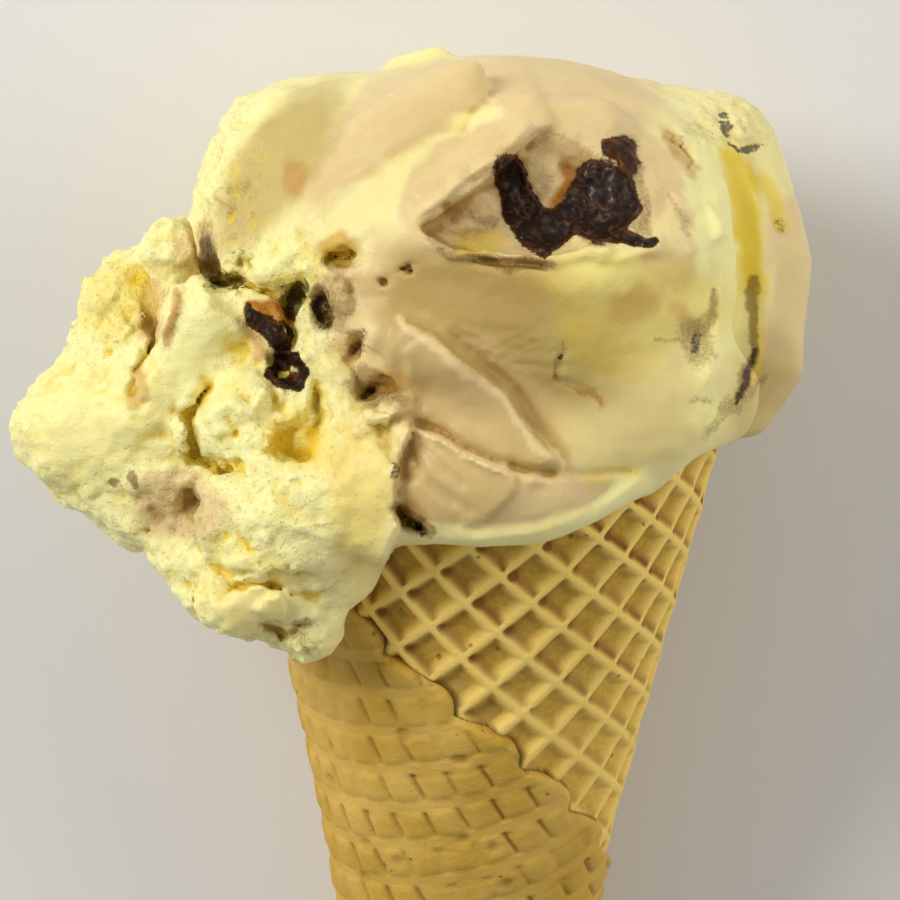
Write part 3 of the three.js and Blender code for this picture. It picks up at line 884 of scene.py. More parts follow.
def ice_cream_finish():
    recipe = Recipe(
        "lemon_toffee_ice_cream",
        Subsurface_Weight=0.35,
        Subsurface_Scale=0.002,
        Subsurface_Radius=(0.8, 0.75, 0.45),
        Specular_IOR_Level=0.45,
        IOR=1.36,
    )
    cloud = recipe.noise(9, 4, 0.55, distortion=0.6)
    grain = recipe.noise(1.3, 4, 0.6)
    fleck = recipe.noise(0.5, 2, 0.6)
    toffee = recipe.between(recipe.mark("toffee") + (cloud - 0.5) * 0.5, 0.08, 0.92)
    lemon = recipe.mix(grain, colour(252, 238, 150), colour(254, 246, 186))
    brown = recipe.mix(cloud, colour(228, 200, 138), colour(238, 214, 160))
    # Painted shade: a deeper, darker tint for the ice cream's narrow places and creases.
    crevice_shade_tint = recipe.mix(toffee, colour(236, 208, 62), colour(176, 140, 76))
    speckle = (fleck - 0.5) * 1.2 + (cloud - 0.5) * 0.5
    # Brown stains, with painted shade along the cuts, grooves and under the hollow's lips.
    stain_and_shade = recipe.between(recipe.mark("umber_stain_and_shade") + speckle * 0.6, 0.15, 0.9)
    # Painted shade: near black in the dents, cuts and grooves, broken into a few dark specks.
    hole_shade_and_specks = recipe.between(recipe.mark("hole_shade_and_specks") + speckle * 0.7, 0.4, 0.75)
    smear = recipe.between(recipe.mark("fudge") + speckle * 0.6, 0.2, 0.55)
    base = recipe.coated(
        recipe.mix(toffee, lemon, brown),
        (recipe.mark("shade"), colour(176, 144, 66)),
        # Painted shade in narrow places and in the creases of the torn surface.
        (recipe.between(recipe.mark("pit_shade"), 0.1, 0.75) * 0.85, crevice_shade_tint),
        (recipe.mark("crease_shade") * 0.45, crevice_shade_tint),
        (recipe.mark("gold"), colour(242, 212, 56)),
        (recipe.mark("caramel"), colour(186, 118, 0)),
        # Stains, and painted shade in the grooves.
        (stain_and_shade * 0.7, colour(128, 94, 28)),
        # Painted shade in the holes and cuts.
        (hole_shade_and_specks * 0.85, colour(48, 28, 8)),
        (smear, colour(74, 42, 22)),
        (recipe.between(fleck, 0.66, 0.74) * 0.2, colour(206, 170, 90)),
    )
    roughness = 0.42 + (grain - 0.5) * 0.2 - smear * 0.15
    rough = recipe.mark("rough")
    pores = recipe.between(recipe.noise(0.8, 2, 0.5), 0.3, 0.42) * rough
    height = grain * (0.12 + rough * 0.9) + fleck * (0.05 + rough * 0.4) + pores * 0.4
    return recipe.finish(Base_Color=base, Roughness=roughness, Normal=recipe.bump(height, 0.35))


def fudge_finish():
    recipe = Recipe("dark_fudge", Specular_IOR_Level=0.15, Coat_Roughness=0.15)
    cloud = recipe.noise(1.6, 4, 0.65, distortion=0.5)
    streak = recipe.noise(1.5, 4, 0.7, distortion=1.5)
    cover = recipe.mark("cover")
    thin = 1 - recipe.between(cover + (cloud - 0.5) * 0.7, 0.55, 0.95)
    base = recipe.coated(
        colour(32, 18, 9),
        (recipe.between(streak, 0.48, 0.7) * 0.55, colour(116, 74, 40)),
        (thin * 0.8, colour(112, 64, 20)),
    )
    height = cloud * 0.5 + streak * 0.5
    return recipe.finish(
        Base_Color=base,
        Roughness=0.3 + cloud * 0.3,
        Coat_Weight=recipe.between(cloud, 0.45, 0.7) * 0.4,
        Normal=recipe.bump(height, 0.25),
    )


def waffle_finish():
    recipe = Recipe("baked_waffle", Specular_IOR_Level=0.25)
    cloud = recipe.noise(16, 4, 0.55)
    grain = recipe.noise(0.9, 4, 0.65)
    patch = recipe.between(recipe.noise(11, 3, 0.5, distortion=0.5), 0.35, 0.65)
    # Painted shade: the cells' floors darken where the scoop overhangs the cone.
    scoop_shadow = recipe.mark("scoop_shadow")
    mealy = recipe.between(grain, 0.3, 0.7)
    lit_floor = recipe.mix(mealy, colour(214, 174, 70), colour(230, 192, 92))
    shaded_floor = recipe.mix(mealy, colour(174, 136, 42), colour(198, 160, 58))
    floor = recipe.mix(scoop_shadow * 0.9, lit_floor, shaded_floor)
    top = recipe.mix(cloud, colour(250, 210, 96), colour(255, 224, 130))
    soft = recipe.mix(patch, colour(200, 158, 56), colour(216, 176, 84))
    # Painted shade on the lower and left walls of each square, deepest below the scoop.
    wall_shade = recipe.mark("low_wall_shade") * (0.4 + scoop_shadow * 0.5)
    wall_shade = wall_shade + recipe.mark("left_wall_shade") * (0.05 + scoop_shadow * 0.6)
    near = recipe.add("ShaderNodeTexVoronoi", Vector=recipe.place, Scale=1 / (4.2 * MM))
    # Painted shade: the pinholes are darkened as well as pressed in.
    shaded_pinholes = 1 - recipe.between(near, 0.05, 0.1)
    base = recipe.coated(
        floor,
        (recipe.mark("rib"), top),
        # Painted shade on the squares' walls.
        (wall_shade * (0.6 + patch * 0.5), colour(130, 82, 16)),
        (recipe.mark("flap") * 0.85, soft),
        # Painted shade in the flap's slits, lines and dents.
        (recipe.mark("crease_shade") * 0.55, colour(136, 96, 36)),
        # Painted shadow beside the flap's edge.
        (recipe.mark("gap") * 0.85, colour(74, 48, 18)),
        (shaded_pinholes * 0.5, colour(104, 70, 26)),
    )
    height = grain * 0.5 - shaded_pinholes * 0.8 + recipe.noise(0.25, 2, 0.6) * 0.25
    return recipe.finish(
        Base_Color=base, Roughness=0.55 + grain * 0.15, Normal=recipe.bump(height, 0.3)
    )


# ---- Colours of the ice cream, painted on its points ----


def painted(values, face, front, dabs):
    """Values after each dab has drawn them towards its own."""
    for target, form, *edge in dabs:
        share = form.mask(face, *edge) * front
        values = values + (target - values) * share
    return values


# A dab has the value that it draws towards, a form and the softness of its edge. A line's width
# comes before its softness.
toffee_dabs = [
    (1, Patch(-13, 33, 5, 9, -42), 5),  # cap, left of the lemon band
    (1, Patch(4, 38, 14, 6, 8), 4),  # cap, right of the lemon band
    (0, Stroke((-22, 20.5), (-14, 26), (-6, 31), (1, 35.5)), 2.2, 2.5),  # lemon band
    (0, Patch(-27, 36, 5, 12, -35), 3),
    (1, Patch(8, 27, 17, 10, 6), 2),  # hollow
    (1, Patch(2, 10, 15, 9, -25), 4),  # belly, left
    (1, Patch(-1, 0, 13, 8, -38), 2),  # upper petal
    (1, Patch(-2, -12, 11, 5.5, -12), 2),  # lower petal
    (0.2, Patch(21, 8, 11, 12), 5),  # belly, right
    (0.9, Patch(10.5, -3.5, 4.5, 4.5, -20), 3),
    (1, Patch(10, -12.6, 7, 2.4, 12), 2),
    (0.7, Patch(27, 20, 4.5, 4), 3),
    (0.35, Patch(22, -3, 9, 6), 5),
    (0, Stroke((-5.6, -17.4), (-0.1, -18.6), (7.8, -17.7), (15.7, -14.9), (21.2, -11)), 1, 1.5),
    (0, Stroke((31, 32), (32.5, 20), (32, 8), (30, 0)), 3, 2),  # fold beside the curtain
    (0.75, Stroke((43, 24), (43, 12), (40, 2)), 3, 3),  # curtain's outer bulge
    (0.9, Stroke((-43.5, 14.5), (-44, 9)), 1, 1.5),  # streak of the upper lobe
    (0.7, Patch(-40, -14, 5, 3.5, -20), 2.5),
    (0.3, Patch(-27, -27, 8, 4, -10), 3),
    (0.5, Patch(-15, -9, 3, 5), 3),
    (0.8, Stroke((-19, 12), (-15, 4), (-12, 0)), 1, 2),
    (0.9, Patch(-18, 14, 3, 2.5), 1.5),
]

ribbon_loop = Stroke(
    (-27.9, 3.4), (-26.9, 5), (-25, 5.3), (-23.7, 4), (-24.5, 2.4), (-26.8, 2.2), (-27.9, 3.4)
)

fudge_dabs = [
    (1, Stroke((3.9, 30), (4, 28.7), (5, 25.5), (6.3, 22.8), (8, 20.6)), 1.1, 1.8),
    (1, Stroke((6.2, 24.5), (8.6, 21.6)), 1.7, 1.4),
    (1, Patch(15.9, 25.9, 3.8, 4.6, 4), 1.6),
    (1, Patch(8.4, 21.5, 2.6, 1.7, -8), 1),
    (1, Patch(11.6, 23.2, 2.6, 1.6, 10), 1.2),
    (1, Stroke((8, 21.4), (11, 22.8), (14.5, 22.4), (18, 21.4)), 0.6, 1.2),
    (1, Stroke((18, 21.6), (20.4, 21.2), (22, 20.6)), 0.3, 1),
    (0.85, Stroke((17, 33.6), (19.4, 32.6), (19.8, 31)), 0.8, 1.2),
    (1, Stroke((-30.4, 11), (-29.2, 10.5), (-28, 9.6), (-26.9, 8.2)), 0.7, 0.9),
    (1, Stroke((-27, 9.2), (-26, 7.4), (-25.5, 5.6)), 0.8, 1),
    (1, ribbon_loop, 0.45, 0.7),
]

# Painted shade: near black in the dents, cuts and grooves, with a few dark specks.
hole_shade_and_speck_dabs = [
    (1, Stroke((-25.2, 11.4), (-24.4, 13), (-23.8, 14.6)), 0.7, 0.9),
    (0.7, Patch(-20.6, 11.7, 1, 1.8, 15), 1),
    (0.55, Patch(-16.1, 7.1, 0.6, 1.2, -15), 0.8),
    (0.42, Patch(-13.8, 0.8, 2, 1.5, 20), 1.2),
    (0.8, Patch(-33.8, 15.6, 1.8, 0.6, 10), 0.8),
    (0.45, Stroke((-38.7, -3.6), (-38, -7.4), (-35.5, -8.8), (-33, -9.4)), 0.9, 1.1),
    (0.8, Stroke((36, 7), (35, 3), (33.9, 0)), 0.2, 0.7),
    (0.45, Stroke((-2.8, 18.4), (1.2, 17.9), (3.8, 17.3), (6, 17.9), (9.4, 17.6)), 0.1, 0.8),
    (0.45, Stroke((-5.6, 20.4), (-4.4, 18.8), (-3, 18.4)), 0.1, 0.7),
    (0.6, Stroke((-11, -14.6), (-9.3, -16.4), (-7.4, -17.5)), 0.4, 1),
    (0.7, Patch(-11.2, -9.3, 0.5, 0.7), 0.6),
    (0.8, Patch(10.5, 5.2, 0.2, 0.4), 0.4),
    (0.7, Patch(9.9, 2.7, 0.25, 0.25), 0.4),
    (0.6, Patch(28.6, 7.4, 0.5, 1, -10), 1),
    (0.7, Patch(33, 38.4, 0.5, 0.5), 0.6),
    (0.7, Patch(32.9, 36.2, 0.5, 0.8), 0.6),
    (0.7, Stroke((33.2, 34.2), (35, 33.6), (37, 33.7)), 0.1, 0.7),
    (0.5, Patch(40.3, 23.6, 0.5, 0.9, 20), 0.9),
    (0.7, Stroke((-20, 18.6), (-16.9, 18.5)), 0.1, 0.5),
]

# Brown stains, with painted shade along the cuts, grooves and under the hollow's lips.
umber_stain_and_shade_dabs = [
    (0.6, Patch(28.4, 7.6, 1.6, 2.2, 30), 2),
    (0.7, Stroke((31, 14.2), (30.7, 11), (29.6, 9.4), (27.6, 8)), 0.15, 1),
    (0.6, Stroke((27, 7.6), (24.4, 7.4), (22.6, 7.8)), 0.1, 0.8),
    (1, Stroke((36.2, 15.5), (36.4, 11), (36, 7), (35, 3), (33.9, -0.2)), 0.3, 1),
    (0.6, Stroke((33.4, -0.3), (31.2, -3), (29.6, -4.6)), 0.2, 1.2),
    (0.6, Stroke((38, 3.2), (36.2, 1.6), (34, -1.6), (31.4, -2.6)), 0.1, 1.1),
    (0.5, Stroke((27.8, -0.6), (30.5, -0.6)), 0.2, 1),
    (0.8, Stroke((-3.6, 18.6), (1.2, 17.9), (3.8, 17.2), (6, 17.8), (9.6, 17.5)), 0.35, 1),
    (0.5, Stroke((7.6, 34.6), (9.2, 35.2), (12.1, 34.1), (14.6, 31.8)), 0.1, 1),
    (0.6, Stroke((6.6, 33), (7.8, 34.4)), 0.3, 1),
    (0.7, Patch(18.6, 32.6, 2, 1.6, -20), 1.2),
    (0.7, Stroke((20.4, 31.5), (20.8, 27), (21.5, 22.6)), 0.3, 1.3),
    (0.6, Patch(15.9, 25.9, 5, 5.6), 1.2),
    (0.6, Stroke((-4.2, 25), (-2.8, 23.6)), 0.5, 1),
    (0.5, Stroke((-5.6, 22.4), (-2.4, 21.6), (0.6, 22)), 0.2, 0.8),
    (0.6, Stroke((-2, 24.6), (2.2, 22.8)), 0.3, 1),
    (0.6, Stroke((-6.8, 21.6), (-4.4, 19.4), (-1, 19)), 0.4, 1),
    (0.5, Stroke((25, 27), (26.4, 24), (27.4, 21.6)), 0.1, 0.8),
    (0.6, belly_mark, 0.1, 0.7),
    (0.3, Stroke((-10.4, -5), (-11.2, -9), (-11.2, -13)), 0.15, 0.9),
    (1, Stroke((-11, -14.2), (-9.4, -15.8), (-6.6, -17.2)), 0.6, 1),
    (0.7, Patch(-14.4, 1.4, 3.2, 2, -20), 1.6),
    (0.8, Stroke((-37.3, 23.6), (-37, 20), (-35.8, 17)), 0.6, 1.1),
    (0.6, Patch(-19.3, 12.5, 2.6, 3.2, -20), 1.4),
    (0.35, Stroke((-39.8, 13.6), (-40.3, 11.1), (-41.1, 8.4), (-42.2, 6.8)), 0.3, 0.9),
    (0.35, Patch(-33.7, 4.8, 0.9, 0.6, 20), 0.8),
    (0.6, Stroke((-21.6, 0), (-21.8, -4)), 0.4, 0.9),
    (0.7, Stroke((-29.5, -29.8), (-26, -31), (-22.8, -29.7)), 0.2, 0.7),
    (0.6, Patch(-18.5, 17.6, 2, 0.8), 0.8),
    (0.3, Stroke((-12.7, -12), (-13.6, -17), (-16.4, -21)), 0.3, 1.2),
    (0.2, Patch(-40, -14.5, 4, 2.5, -20), 2.5),
    (1, Patch(-48.5, -11, 0.55, 0.5), 0.4),
    (1, Patch(-46, -10.8, 0.6, 0.6), 0.4),
    (0.25, Stroke((24.4, 36.3), (26.2, 33.7), (27.8, 30.8)), 0.2, 0.9),
    (0.4, Stroke((28, 36), (31, 35)), 0.6, 1.4),
]

caramel_dabs = [
    (0.95, Stroke((-30.4, 11.4), (-27.7, 12), (-25.6, 11)), 0.8, 0.8),
    (0.6, Stroke((-30.8, 9.6), (-29.6, 7.8), (-29.2, 6)), 0.5, 1.2),
    (0.4, Patch(-38.2, 20, 1.6, 2.4), 1.6),
    (0.5, Patch(-24.6, 29.4, 1, 1.8, 10), 1.2),
    (0.5, Patch(-18.5, 19.6, 2.2, 1.4), 1),
    (0.95, Stroke((11.8, 28.8), (10.8, 26.6), (10.6, 24.8)), 0.8, 1),
    (0.8, Stroke((11.2, 30.2), (12.8, 29.6)), 0.4, 1),
    (0.7, Stroke((3.6, 31.2), (4.6, 30.4)), 0.5, 0.9),
    (0.7, Stroke((-4.2, 25), (-3.2, 24)), 0.3, 0.8),
    (0.7, Stroke((-40.3, 14), (-40.6, 11), (-41.8, 7.6)), 0.3, 0.8),
    (0.5, Stroke((-45.6, 4), (-45, 1.5), (-46, -1)), 0.3, 0.8),
    (0.4, Patch(20, 12.2, 2, 1, 30), 2),
    (0.5, Stroke((12.5, 1.6), (14.9, 0.7), (15.8, -0.8)), 0.2, 0.7),
    (0.35, Stroke((26, 12), (28.4, 9)), 0.4, 2),
    (0.25, Stroke((3, 31.5), (10, 33.5), (14, 31)), 0.5, 1.5),
    (0.5, Patch(-9.5, -15.2, 1.5, 1.2), 1.2),
    (0.5, Stroke((25, 35.2), (27, 32), (28.4, 30)), 0.3, 1.2),
    (0.5, Patch(-12, 2.4, 1.6, 1), 1.4),
]

gold_dabs = [
    (0.12, Patch(-52, -3, 7, 7), 4),
    (0.15, Patch(-31, -25, 6, 5), 2),
    (0.2, Stroke((-44, -4), (-44, 3)), 0.5, 1.5),
    (0.9, Stroke((34, 32), (35.2, 27), (36, 21), (36.2, 16)), 1, 1.8),
    (0.6, Stroke((37.2, 14), (36.9, 8), (36.2, 3)), 0.2, 1),
    (0.7, Stroke((37.6, 29.5), (39.6, 26), (40.4, 23.8)), 0.4, 1.3),
    (0.45, Patch(-24, -5.5, 3.5, 3, -20), 2),
    (0.6, Patch(-18.4, 19.4, 1.8, 1.4), 0.8),
    (0.4, Patch(-16, -13, 2.5, 6), 3),
    (0.35, Stroke((14, -10.4), (20, -9.8)), 0.3, 1.2),
    (0.4, Patch(21, 14, 8, 3, -10), 4),
    (0.3, Patch(18, 9, 5, 4, -10), 4),
    (0.4, Patch(-48, 13, 4, 4), 3),
    (0.5, Patch(-25.4, 15.4, 2.2, 0.8, 10), 1),
    (0.5, Stroke((-2, 20.4), (2, 20.6)), 0.8, 1.2),
]

shade_dabs = [
    (0.2, Patch(-14, 29, 4, 9, -42), 4),
    (0.35, Patch(17, 2, 10, 10), 5),
    (0.45, Patch(38, 0, 4, 6), 4),
    (0.75, Patch(2, 9, 13, 7, -20), 5),
    (0.7, Patch(-27, 31, 3.5, 9, -35), 3.5),
    (0.45, Patch(0, -1, 12, 6.5, -38), 2.5),
    (0.7, Stroke((-9.4, 11.6), (-2.6, 6.4), (1.4, 3.4), (4, 1), (7.2, -2.8), (11, -7.4)), 0.3, 1.8),
    (0, Stroke((-10.6, 10.4), (-4.2, 5), (-0.2, 2.2), (2.4, 0), (5.6, -4), (10.6, -9)), 0.2, 0.7),
    (0.45, Patch(-4, -12, 7, 4.5, -12), 2),
    (0.6, Stroke((-8.3, -2.4), (-4.8, -3.7), (-1.6, -5.7), (2, -7.4), (5.7, -8.7), (9.3, -9.5)), 0.2, 1.8),
    (0, Stroke((-8.8, -4.1), (-5.3, -5.3), (-2.3, -7.4), (1.6, -9), (5.4, -10.2), (9, -10.7)), 0.2, 0.7),
    (0.3, Stroke((-5.6, -16.6), (-0.1, -17.6), (7.6, -16.7), (14, -14.4)), 0.2, 1),
    (0.3, Patch(-42, -15, 4.5, 3, -20), 2),
]


def scoop_marks(points, pit_shade):
    """What the ice cream's material reads from its points."""
    face = drifted_face(points)
    front = smooth(points[:, 2], 2, 9)
    rough = crumbly(points)
    marbling = smooth(ripple(points * np.array((1, 0.45, 0.7), np.float32), 9, 8.2), -0.7, 0.8)
    dome_side = smooth(points[:, 0], -28, -16)
    toffee = marbling * (1 - front) * (0.35 + 0.65 * dome_side) + front * 0.35 * dome_side
    caramel = 0.25 * smooth(ripple(points, 7, 33), 0.45, 0.9) * (1 - front)
    return {
        "toffee": painted(toffee, face, front, toffee_dabs),
        "caramel": painted(caramel, face, front, caramel_dabs),
        "fudge": painted(0, face, front, fudge_dabs),
        "umber_stain_and_shade": painted(0, face, front, umber_stain_and_shade_dabs),
        "hole_shade_and_specks": painted(0, face, front, hole_shade_and_speck_dabs),
        "gold": painted(0, face, front, gold_dabs),
        "shade": painted(0, face, front, shade_dabs),
        # Painted shade for the ice cream's narrow places and creases.
        "pit_shade": pit_shade,
        "crease_shade": fluff(points)[1] * smooth(rough, 0.15, 0.6),
        "rough": rough,
    }


def make_scoop(material):
    low, high = (-67, -39, -36), (50, 52, 48)
    values = sampled(scoop_distance, low, high, SCOOP_STEP)
    points, faces = skin(values, low, SCOOP_STEP)
    points = settled(points, faces, values, low, SCOOP_STEP)
    # Crowded places get painted shade.
    pit_shade = crowding(points, values, low, SCOOP_STEP, reach=1.4)
    points = points.astype(np.float32)
    marks = scoop_marks(points, pit_shade)
    seated = on_floor(points, scoop_placing)
    make_piece("lemon_toffee_scoop", "ice_cream", seated, faces, material, marks)


def drifted_face(points):
    """Places on the face, moved about so that painted edges run naturally."""
    return points[:, :2] + 0.9 * drift(points, 3.2, 5.5, 61.5) + 0.3 * drift(points, 1.1, 7.5, 21.5)


def fudge_distance(points):
    """Distance from fudge that lies on the ice cream and thins out towards its edges."""
    cover = painted(0, drifted_face(points), 1, fudge_dabs)
    surface = scoop_distance(points)
    proud = 0.9 * smooth(cover, 0.35, 1.0) - 0.35
    proud += 0.2 * ripple(points, 1.5, 3.3) + 0.1 * ripple(points, 0.8, 8.3)
    return np.maximum(surface - proud, -FUDGE_DEPTH - surface)


def make_fudge(name, node, forms, material):
    room = 2.5
    low = np.min([form.box()[0] for form in forms], axis=0) - room
    high = np.max([form.box()[1] for form in forms], axis=0) + room
    values = sampled(fudge_distance, low, high, FUDGE_STEP)
    # The lattice's outermost nodes count as air, so that the skin closes.
    values[[0, -1]] = values[:, [0, -1]] = values[:, :, [0, -1]] = 1
    points, faces = skin(values, low, FUDGE_STEP)
    points = settled(points, faces, values, low, FUDGE_STEP)
    marks = {"cover": painted(0, drifted_face(points), 1, fudge_dabs)}
    make_piece(name, node, placed(points, scoop_placing), faces, material, marks)


# ---- Waffle cone ----


def seam_angle(slant):
    """Where the sheet's outer edge lies around the cone, at a slant distance."""
    return np.radians((SEAM_AT_FRONT - slant) / SEAM_PER_DEGREE)


def turn_part(sheet):
    """Part of a turn, leftwards from the sheet's outer edge."""
    slant = np.hypot(*sheet.T)
    return (seam_angle(slant) * SIN_HALF - np.arctan2(*sheet.T)) / TURN_ANGLE


def arc(sheet):
    """Length of a whole turn at each point's slant distance."""
    return TURN_ANGLE * np.hypot(*sheet.T)


def edge_lobe(sheet):
    """How far the scalloped outer edge of the sheet draws in or out."""
    return EDGE_LOBE * (1 - 2 * np.abs(np.sin(np.pi * np.hypot(*sheet.T) / EDGE_LOBE_PITCH)))


# Each of the sheet's edges gives a distance that is less than nothing beyond it.
def inside_outer_edge(sheet):
    return turn_part(sheet) * arc(sheet) - edge_lobe(sheet)


def inside_inner_end(sheet):
    return (1 - turn_part(sheet)) * arc(sheet) + TUCKED_UNDER


def inside_top(sheet):
    return MOUTH_SLANT - np.hypot(*sheet.T)


def inside_bottom(sheet):
    return np.hypot(*sheet.T) - SHEET_START


def trimmed(sheet, quads, inside):
    """Keeps what lies inside an edge, with the points just beyond it drawn back onto it."""
    value = inside(sheet)
    quads = quads[(value[quads] > 0).any(axis=1)]
    edge = np.unique(quads[value[quads] <= 0])
    small = 0.05
    for _ in range(3):
        here = sheet[edge]
        rises = [inside(here + small * way) - inside(here - small * way) for way in np.eye(2)]
        slope = np.stack(rises, axis=1) / (2 * small)
        away = inside(here) / np.maximum((slope * slope).sum(axis=1), 0.1)
        sheet[edge] = here - slope * away[:, None]
    return quads


class Lattice:
    """The pressed squares of the sheet. Mesh lines follow each rib and its slopes, and are given
    from the rib to the middle of a square."""

    def __init__(self, pitch, turn, shift, lines):
        self.pitch = pitch
        self.turn = math.radians(turn)
        self.shift = shift
        self.lines = [0, *lines, 0.5, *(1 - line for line in reversed(lines))]

    def sheet(self):
        """Points of the unrolled sheet, and their quads."""
        reach = math.ceil(MOUTH_SLANT / min(self.pitch)) + 1
        lines = np.array([cell + line for cell in range(-reach, reach) for line in self.lines])
        across, up = np.meshgrid(
            (lines + self.shift[0]) * self.pitch[0], (lines + self.shift[1]) * self.pitch[1], indexing="ij"
        )
        sheet = np.stack(turned(across.ravel(), up.ravel(), self.turn), axis=1)
        index = np.arange(len(sheet)).reshape(up.shape)
        corners = (index[:-1, :-1], index[1:, :-1], index[1:, 1:], index[:-1, 1:])
        quads = np.stack([corner.ravel() for corner in corners], axis=1)
        middle = sheet[quads].mean(axis=1)
        part = turn_part(middle)
        room = (middle[:, 1] > -3 * WAFFLE_PITCH) & (part > -0.3) & (part < 1.3)
        return sheet, quads[room]

    def place(self, sheet):
        """Place in a cell, from -0.5 to 0.5 off the nearest rib, across and up."""
        across, up = turned(*sheet.T, -self.turn)
        across = across / self.pitch[0] - self.shift[0]
        up = up / self.pitch[1] - self.shift[1]
        return across - np.round(across), up - np.round(up)


waffle_squares = Lattice(
    (WAFFLE_PITCH, WAFFLE_PITCH),
    WAFFLE_TURN,
    WAFFLE_SHIFT,
    (0.05, 0.09, 0.13, 0.17, 0.22, 0.28, 0.4),
)
flap_squares = Lattice(FLAP_PITCH, FLAP_TURN, (0, 0), (0.04, 0.08, 0.13, 0.2, 0.3, 0.4))


def past_flap(sheet):
    """Arc from where the softer squares begin, more than nothing towards the flap."""
    slant = np.hypot(*sheet.T)
    return slant * (np.arctan2(*sheet.T) - math.radians(FLAP_FROM) * SIN_HALF)


def before_flap(sheet):
    return -past_flap(sheet)


def in_space(sheet):
    """Places of the sheet that noise can be read at."""
    return np.stack((sheet[:, 0], sheet[:, 1], sheet[:, 0] * 0), axis=1).astype(np.float32)


def waffle_relief(sheet):
    """Height of the deep squares, and marks of their ribs, floors and of the walls that get painted shade.
    """
    across, up = waffle_squares.place(sheet)
    ribs = [smooth(np.abs(place), 0.31, 0.03) for place in (across, up)]
    rib = np.maximum(*ribs) + 0.12 * np.minimum(*ribs)
    depth = WAFFLE_DEPTH * (1 + 0.15 * ripple(in_space(sheet), 11))
    inside = 1 - np.clip(rib, 0, 1)
    marks = {
        "rib": np.clip(rib, 0, 1),
        "low_wall_shade": smooth(np.abs(up - 0.2), 0.16, 0.02) * (inside > 0.02),
        "left_wall_shade": smooth(np.abs(across - 0.2), 0.16, 0.02) * (inside > 0.02),
        "crease_shade": rib * 0,
    }
    return depth * (rib - 1), marks


def flap_relief(sheet):
    """Height of the shallow puffed squares, and marks of the bands, and of the creases between them that get
    painted shade.
    """
    across, up = flap_squares.place(sheet)
    place = in_space(sheet)
    band = smooth(np.abs(up), 0.22, 0.12)
    bow = across - 0.1 * np.cos(math.pi * up) * np.sign(up) - 0.05 * ripple(place, 7)
    slit = smooth(np.abs(bow), 0.11, 0.0) * (1 - band) * smooth(ripple(place, 9, 5.5), -0.5, 0.3)
    line = smooth(np.abs(np.abs(up) - 0.19), 0.05, 0.0) * smooth(ripple(place, 9, 7.7), -0.2, 0.5)
    puff = (1 - band) * smooth(np.abs(across), 0.02, 0.3)
    dent = smooth(crumbs(place, 6.5), 0.2, 0.08)
    height = 0.3 * puff - 0.5 * slit - 0.3 * line - 0.5 * dent - 0.55 + 0.35 * ripple(place, 9, 2.2)
    marks = {
        "rib": band,
        "low_wall_shade": band * 0,
        "left_wall_shade": band * 0,
        # Painted shade in the slits, lines and dents.
        "crease_shade": np.clip(slit + 0.35 * line + 0.5 * dent, 0, 1),
    }
    return height, marks


def open_edges(quads):
    """Edges that belong to one quad only, in that quad's order."""
    pairs = sides(quads)
    span = pairs.max() + 1
    forward = pairs[:, 0] * span + pairs[:, 1]
    backward = pairs[:, 1] * span + pairs[:, 0]
    return pairs[~np.isin(forward, backward)]


def flap_shadow(sheet):
    """Painted shadow: a dark line on the sheet below, beside the outer edge."""
    past = (turn_part(sheet) - 1) * arc(sheet) - edge_lobe(sheet)
    return smooth(past, -1.0, -0.2)


def rolled(lattice, relief_of, edges, is_flap):
    """One part of the sheet, trimmed to its edges and rolled up: points, faces and marks."""
    sheet, quads = lattice.sheet()
    for edge in edges:
        quads = trimmed(sheet, quads, edge)
    used, quads = np.unique(quads, return_inverse=True)
    quads = quads.reshape(-1, 4)
    sheet = sheet[used]
    slant = np.hypot(*sheet.T)
    angle = np.arctan2(*sheet.T) / SIN_HALF
    part = turn_part(sheet)
    relief, marks = relief_of(sheet)
    # Where the two kinds of squares meet, both fade to the same calm level.
    calm = smooth(np.abs(past_flap(sheet)), 0.3, 5)
    relief = relief * calm - 0.5 * (1 - calm)
    relief += 0.14 * ripple(in_space(sheet), 5, 9.1)
    grown = smooth(slant, SHEET_START, 45)
    rounding = 0.55 * smooth(inside_outer_edge(sheet), 0.9, 0) * is_flap
    height = (SHEET_STEP * (1 - part) - rounding) * grown + relief * smooth(slant, SHEET_START, 32)
    top = on_cone(slant, angle, height)
    bottom = on_cone(slant, angle, 0.35 * part - SHEET_BACK)
    count = len(sheet)
    rim = open_edges(quads)
    rim = rim[(np.abs(past_flap(sheet))[rim] > 0.05).any(axis=1)]
    walls = np.stack((rim[:, 0], rim[:, 1], count + rim[:, 1], count + rim[:, 0]), axis=1)
    faces = np.concatenate((quads[:, ::-1], count + quads, walls))
    marks = {name: values * calm for name, values in marks.items()}
    marks["rib"] = marks["rib"] + 0.5 * (1 - calm)
    # Painted shade of the scoop on the cone, growing towards the mouth.
    marks["scoop_shadow"] = smooth(slant, *SCOOP_SHADOW_SPAN)
    marks["flap"] = np.full(count, is_flap)
    # Painted shadow under the flap's edge.
    marks["gap"] = (1 - is_flap) * flap_shadow(sheet) * grown
    marks = {name: np.concatenate((values, values)) for name, values in marks.items()}
    return np.concatenate((top, bottom)), faces, marks


